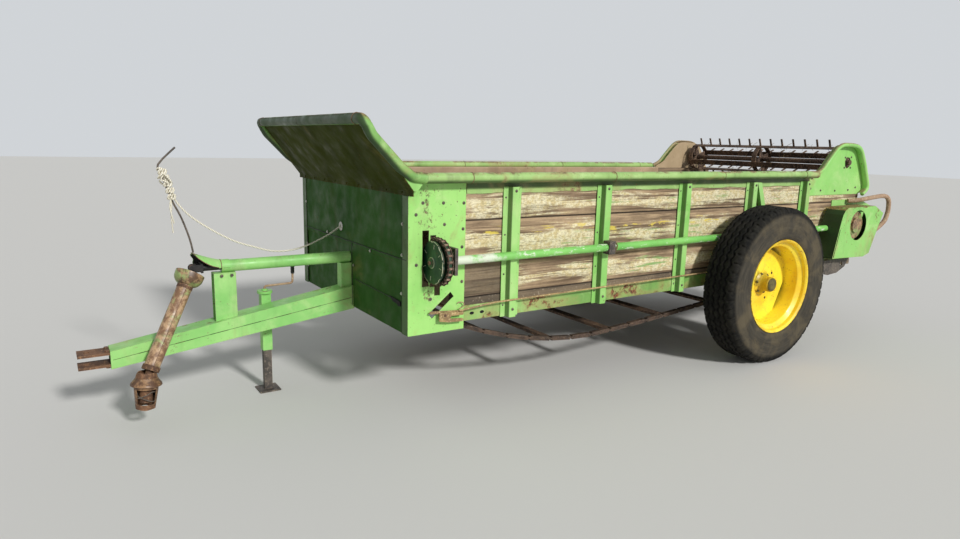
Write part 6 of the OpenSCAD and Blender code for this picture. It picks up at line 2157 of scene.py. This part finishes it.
@dataclass
class Control(Assembly):
    """The forked lever at the sill, its hub, and the hook of wire above it."""

    bar_y: float = 0.7345
    fork_y: float = 0.7420
    face_y: float = 0.7520
    hub: tuple[float, float] = (0.180, 0.050)

    def bar(self) -> Part:
        """The bar that runs forward into the slot, with a rounded end."""
        outline = [(0.100, 0.062), (0.104, 0.074), (0.190, 0.069), (0.290, 0.062), (0.290, 0.048)]
        return prism(fillet(outline, 0.005, 4, loop=True), side_space, (self.bar_y, self.fork_y))

    def fork(self) -> Part:
        """The fork: an upper and a lower arm with a slot open to the rear."""
        outline = [(0.150, 0.022), (0.200, 0.013), (0.284, 0.009), (0.284, 0.024), (0.216, 0.029),
                   (0.208, 0.036), (0.216, 0.043), (0.284, 0.041), (0.284, 0.056), (0.150, 0.065)]
        return prism(fillet(outline, 0.004, 3, loop=True), side_space,
                     (self.fork_y - 0.0005, self.face_y))

    def boss(self) -> Part:
        """The hub round the pivot and the washer on it."""
        profile = [(0.0070, 0.0), (0.0165, 0.0), (0.0165, 0.0105), (0.0150, 0.0120),
                   (0.0070, 0.0120)]
        return revolve(profile, at_side([self.hub], self.fork_y)[0], (0, 1, 0), 32)

    def pivot(self) -> Part:
        """The pivot bolt's dark end."""
        return bolt_heads(at_side([self.hub], self.fork_y + 0.0085), (0, 1, 0), 0.0072, 0.0060,
                          Head.HEX)

    def hook(self) -> Part:
        """Bent wire from the sheet's edge down to the bar."""
        line = [(0.262, 0.7255, 0.094), (0.272, 0.7300, 0.101), (0.290, 0.7330, 0.098),
                (0.297, 0.7340, 0.086), (0.285, 0.7350, 0.075), (0.268, 0.7360, 0.069)]
        path = [(LAY.x(d), y, LAY.z(h)) for d, y, h in line]
        return rod(0.0026, 8, smooth(path, 5), up=(0, 1, 0))

    def build(self) -> None:
        """Bar, fork, hub, bolt and hook of the left side."""
        self.put("lever_bar", self.bar(), Finish.TAN_ROD, bevel=0.001,
                 stand_for=("control_lever",))
        self.put("lever_fork", self.fork(), Finish.TAN_ROD, bevel=0.001)
        self.put_all((
            ("lever_hub", self.boss(), Finish.TAN_ROD),
            ("lever_pivot", self.pivot(), Finish.BROWN_RUST),
            ("lever_hook", self.hook(), Finish.PALE_RUST)))


@dataclass
class Jack(Assembly):
    """The jack's crank with its grip, and the rings on its domed cap."""

    x: float = 1.900
    y: float = -0.090
    cap_z: float = 0.551
    arm: float = 0.150

    def on_cap(self, up: float = 0.0, back: float = 0.0) -> Point:
        """A place above the cap's middle, or behind that."""
        return (self.x - back, self.y, self.cap_z + up)

    def crank(self) -> Part:
        """The bent rod: up from the cap, back and up again to the grip."""
        path = [self.on_cap(0.0005), self.on_cap(0.022), self.on_cap(0.026, self.arm),
                self.on_cap(0.085, self.arm + 0.002)]
        return rod(0.0058, 14, spread(fillet(path, 0.016, 6), 0.006), up=(0, 1, 0))

    def grip(self) -> Part:
        """The ribbed grip on the crank's upright end."""
        z = np.linspace(0, 0.060, 25)
        r = 0.0100 + 0.0010 * np.cos(z * 2 * math.pi / 0.012)
        r[[0, -1]] = 0.0085
        profile = np.concatenate([np.column_stack([r, z]), [(0.0005, 0.060), (0.0005, 0.0)]])
        return revolve(profile, self.on_cap(0.078, self.arm + 0.002), (0, 0, 1), 24)

    def cap_ring(self) -> Part:
        """A rolled ring round the cap's edge and a collar round the screw."""
        rim = [(0.0365, -0.0135), (0.0388, -0.0130), (0.0390, -0.0020), (0.0380, 0.0),
               (0.0365, -0.0005)]
        collar = [(0.0060, -0.0002), (0.0160, -0.0002), (0.0150, 0.0060), (0.0110, 0.0085),
                  (0.0060, 0.0085)]
        return join([revolve(rim, self.on_cap(), (0, 0, 1), 48),
                     revolve(collar, self.on_cap(), (0, 0, 1), 32)])

    def build(self) -> None:
        """Crank, grip and rings; all stay with the sleeve."""
        self.put_all((
            ("crank_rod", self.crank(), Finish.PALE_RUST, "jack_crank"),
            ("crank_grip_sleeve", self.grip(), Finish.GRIP),
            ("jack_cap_rings", self.cap_ring(), Finish.TONGUE_GREEN)))


@dataclass
class Straw(Assembly):
    """Wisps of old straw caught on the upper beater's bars."""

    radius: float = 0.1125
    bar_turn: float = math.radians(68)
    wisps: int = 46
    end_gap: float = 0.12

    def wisp(self, rng: np.random.Generator, middle: Array) -> Part:
        """One bent stalk: a parabola across a bar, thin and flat."""
        along = (rng.uniform(-0.03, 0.03), 0.012, rng.uniform(0.02, 0.035))
        sag = (rng.uniform(-0.010, 0.010), -0.012, 0.004)
        t = np.linspace(-1, 1, 7)[:, None]
        return carry(circle(0.0016, 5, 0.5), middle + t * along + (1 - t * t) * sag, up=(0, 1, 0))

    def build(self) -> None:
        """The wisps, which turn with the beater."""
        low, high = (np.asarray(corner, float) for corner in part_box("upper_beater"))
        centre = (low + high) / 2
        rng = np.random.default_rng(SEED + 7)
        parts = []
        for _ in range(self.wisps):
            a = rng.integers(0, 4) * math.pi / 2 + self.bar_turn
            place = (centre[0] + self.radius * math.cos(a),
                     rng.uniform(low[1] + self.end_gap, high[1] - self.end_gap),
                     centre[2] + self.radius * math.sin(a))
            parts.append(self.wisp(rng, np.asarray(place)))
        self.put("beater_straw", join(parts), Finish.STRAW, "upper_beater")


@dataclass
class FrontDetails(Assembly):
    """The front's torn gap and lap line, the pipe clip, the case's gap and the sill's slots."""

    def notch(self) -> Part:
        """The torn gap at the seam's near end, as a thin near-black plate of painted shade."""
        outline = np.array([(0.523, 0.6030), (0.600, 0.6000), (0.640, 0.5960), (0.640, 0.5740),
                            (0.618, 0.5710), (0.606, 0.5800), (0.560, 0.5830), (0.546, 0.5930)])
        return prism(outline, self.front_space, (-0.0010, 0.0032))

    @staticmethod
    def front_space(flat: Array) -> Array:
        """(y, z, in front of the sheet) to space."""
        return np.column_stack([LAY.front_x + flat[:, 2], flat[:, 0], flat[:, 1]])

    def lower_seam(self) -> Part:
        """The lap line from the tongue to the torn gap."""
        line = [(LAY.x(-0.0026), y, 0.6065 - 0.0085 * (y - 0.096) / 0.43)
                for y in np.linspace(0.096, 0.53, 24)]
        return rod(0.0018, 6, line, up=(1, 0, 0))

    def clip_rings(self) -> Part:
        """The bent wires of the pipe's clip behind the second post."""
        at = LAY.x(LAY.posts[1])
        return join([rod(0.0036, 8, ring_line((at - run, 0.778, 0.800), 0.0225, 40, lean),
                         up=(1, 0, 0), loop=True) for run, lean in ((0.030, 0.004), (0.043, -0.005))])

    def case_gap(self) -> Part:
        """The gap beside the chain case's bent front edge, as a near-black rod of painted shade."""
        line = at_side(((3.3175, 0.118), (3.3440, 0.226), (3.3660, 0.316)), 0.8803)
        return rod(0.0022, 6, spread(line, 0.01), up=(0, 1, 0))

    def sill_slots(self) -> Part:
        """Two oval slots in the sill behind the side panel, as near-black ovals of painted shade."""
        oval = circle(1.0, 24) * (0.0125, 0.0075)
        return join([prism(oval + (back, 0.034), side_space,
                           (LAY.side_y - 0.001, LAY.side_y + 0.0012)) for back in (0.352, 0.412)])

    def build(self) -> None:
        """Gap and seam, clip, case edge and slots."""
        self.put("pipe_clip_rings", self.clip_rings(), Finish.BROWN_RUST)
        self.put("case_edge_gap", self.case_gap(), Finish.HOLE_SHADE)
        self.put("sill_slot_marks", self.sill_slots(), Finish.HOLE_SHADE, flat=True)
        self.put("front_torn_gap", self.notch(), Finish.HOLE_SHADE, flat=True)
        self.put("front_lower_seam", self.lower_seam(), Finish.BLACK)


ASSEMBLIES: tuple[type, ...] = (SideBoards, Posts, Rails, Flare, Ears, Wheels, FrontPanels,
                                Driveline, Tongue, SideDrive, Control, Jack, Straw,
                                FrontDetails)


DRESSED: dict[Finish, str] = {
    Finish.TONGUE_GREEN: "tongue tube_supports guard_tube guard_hood jack_sleeve",
    Finish.BROWN_RUST: "hitch_straps shaft_yoke idler_shaft drive_shaft control_lever",
    Finish.DARK_RUST: "jack_crank apron_slats upper_beater main_beater",
    Finish.CHAIN_RUST: "side_chain apron_chains",
    Finish.PALE_RUST: "rear_guards",
    Finish.IRON: "jack_leg apron_plate distributor side_bracket rope_rod",
    Finish.BLACK: "shaft_joint",
    Finish.TAN_ROD: "control_rod",
    Finish.SHIELD: "shield",
    Finish.BELL: "shaft_bells case_disc",
    Finish.FRONT_GREEN: "front_sheet",
    Finish.RAIL_GREEN: "flare rail_left rail_right",
    Finish.PANEL_GREEN: "front_side_left front_side_right",
    Finish.INNER_TAN: "inner_guard",
    Finish.SILL_GREEN: "front_beam sill_left sill_right",
    Finish.BOARDS: "side_boards_left side_boards_right",
    Finish.FLOOR: "floor_boards",
    Finish.DEEP_GREEN: "cross_members axle",
    Finish.SUN_GREEN: "posts_left posts_right rear_arms",
    Finish.EAR_GREEN: "ear_left ear_right",
    Finish.YELLOW: "rim_left rim_right",
    Finish.RUBBER: "tyre_left tyre_right",
    Finish.PIPE_GREEN: "side_pipe",
    Finish.DRIVE_GREEN: "side_sprocket",
    Finish.CASE_GREEN: "chain_case",
    Finish.BRIGHT: "rope_eye",
}


# Stage

@dataclass(frozen=True)
class Studio:
    """The plain pale floor, the soft light and the photograph's camera."""

    floor_half: float = 40.0
    floor_colour: str = "d9d7d2"
    sky_colour: str = "e6eaee"
    sky_strength: float = 0.46
    shown_strength: float = 0.80
    key_from: tuple[float, float, float] = (-0.12, 0.86, 0.50)
    key_strength: float = 2.75
    key_angle: float = 7.0
    sensor: float = 36.0

    def floor(self) -> None:
        """A large flat floor at ground level."""
        h = self.floor_half
        mesh = bpy.data.meshes.new("floor")
        mesh.from_pydata([(-h, -h, 0), (h, -h, 0), (h, h, 0), (-h, h, 0)], [], [(0, 1, 2, 3)])
        floor = bpy.data.objects.new("floor", mesh)
        bpy.context.scene.collection.objects.link(floor)
        paint = bpy.data.materials.new("floor_paint")
        paint.use_nodes = True
        shader = paint.node_tree.nodes["Principled BSDF"]
        shader.inputs["Base Color"].default_value = srgb(self.floor_colour)
        shader.inputs["Roughness"].default_value = 0.9
        mesh.materials.append(paint)

    def light(self) -> None:
        """A pale sky all round and one wide key light."""
        world = bpy.data.worlds.new("studio")
        world.use_nodes = True
        tree = world.node_tree
        sky = tree.nodes["Background"]
        sky.inputs["Color"].default_value = srgb(self.sky_colour)
        ray = tree.nodes.new("ShaderNodeLightPath")
        seen = ray.outputs["Is Camera Ray"]
        for name in ("Is Glossy Ray", "Is Transmission Ray"):
            more = tree.nodes.new("ShaderNodeMath")
            more.operation = "MAXIMUM"
            tree.links.new(seen, more.inputs[0])
            tree.links.new(ray.outputs[name], more.inputs[1])
            seen = more.outputs[0]
        level = tree.nodes.new("ShaderNodeMapRange")
        level.inputs["To Min"].default_value = self.sky_strength
        level.inputs["To Max"].default_value = self.shown_strength
        tree.links.new(seen, level.inputs["Value"])
        tree.links.new(level.outputs["Result"], sky.inputs["Strength"])
        bpy.context.scene.world = world
        lamp = bpy.data.lights.new("key", "SUN")
        lamp.energy = self.key_strength
        lamp.angle = math.radians(self.key_angle)
        key = bpy.data.objects.new("key", lamp)
        bpy.context.scene.collection.objects.link(key)
        key.rotation_euler = Vector(self.key_from).to_track_quat("Z", "Y").to_euler()

    def camera(self) -> None:
        """The camera of the photograph, from its place, its three angles and its focal length."""
        yaw, pitch, roll = (math.radians(a) for a in (YAW, PITCH, ROLL))
        ahead = Vector((math.cos(pitch) * math.cos(yaw), math.cos(pitch) * math.sin(yaw),
                        math.sin(pitch)))
        right = ahead.cross(Vector((0, 0, 1))).normalized()
        up = right.cross(ahead)
        r = math.cos(roll) * right + math.sin(roll) * up
        u = -math.sin(roll) * right + math.cos(roll) * up
        lens = bpy.data.cameras.new("photo_camera")
        lens.sensor_fit = "HORIZONTAL"
        lens.sensor_width = self.sensor
        lens.lens = FOCAL_PX / IMAGE_W * self.sensor
        lens.clip_end = 200
        camera = bpy.data.objects.new("photo_camera", lens)
        bpy.context.scene.collection.objects.link(camera)
        turn = Matrix((r, u, -ahead)).transposed().to_4x4()
        camera.matrix_world = Matrix.Translation(EYE) @ turn
        bpy.context.scene.camera = camera

    def build(self) -> None:
        """Sets up the camera, the floor and the light."""
        scene = bpy.context.scene
        scene.view_settings.view_transform = "Standard"
        self.camera()
        self.floor()
        self.light()


def main() -> None:
    """Builds the camera, the cords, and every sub-assembly in order."""
    logging.basicConfig(level=logging.INFO, format="%(name)s: %(message)s")
    Studio().build()
    palette = Palette()
    ControlRope(palette).build()
    for part in ASSEMBLIES:
        part(palette).build()
        log.info("%s done", part.__name__)
    plain = Assembly(palette)
    for finish, nodes in DRESSED.items():
        for node in nodes.split():
            plain.dress(node, finish)


if __name__ == "__main__":
    main()
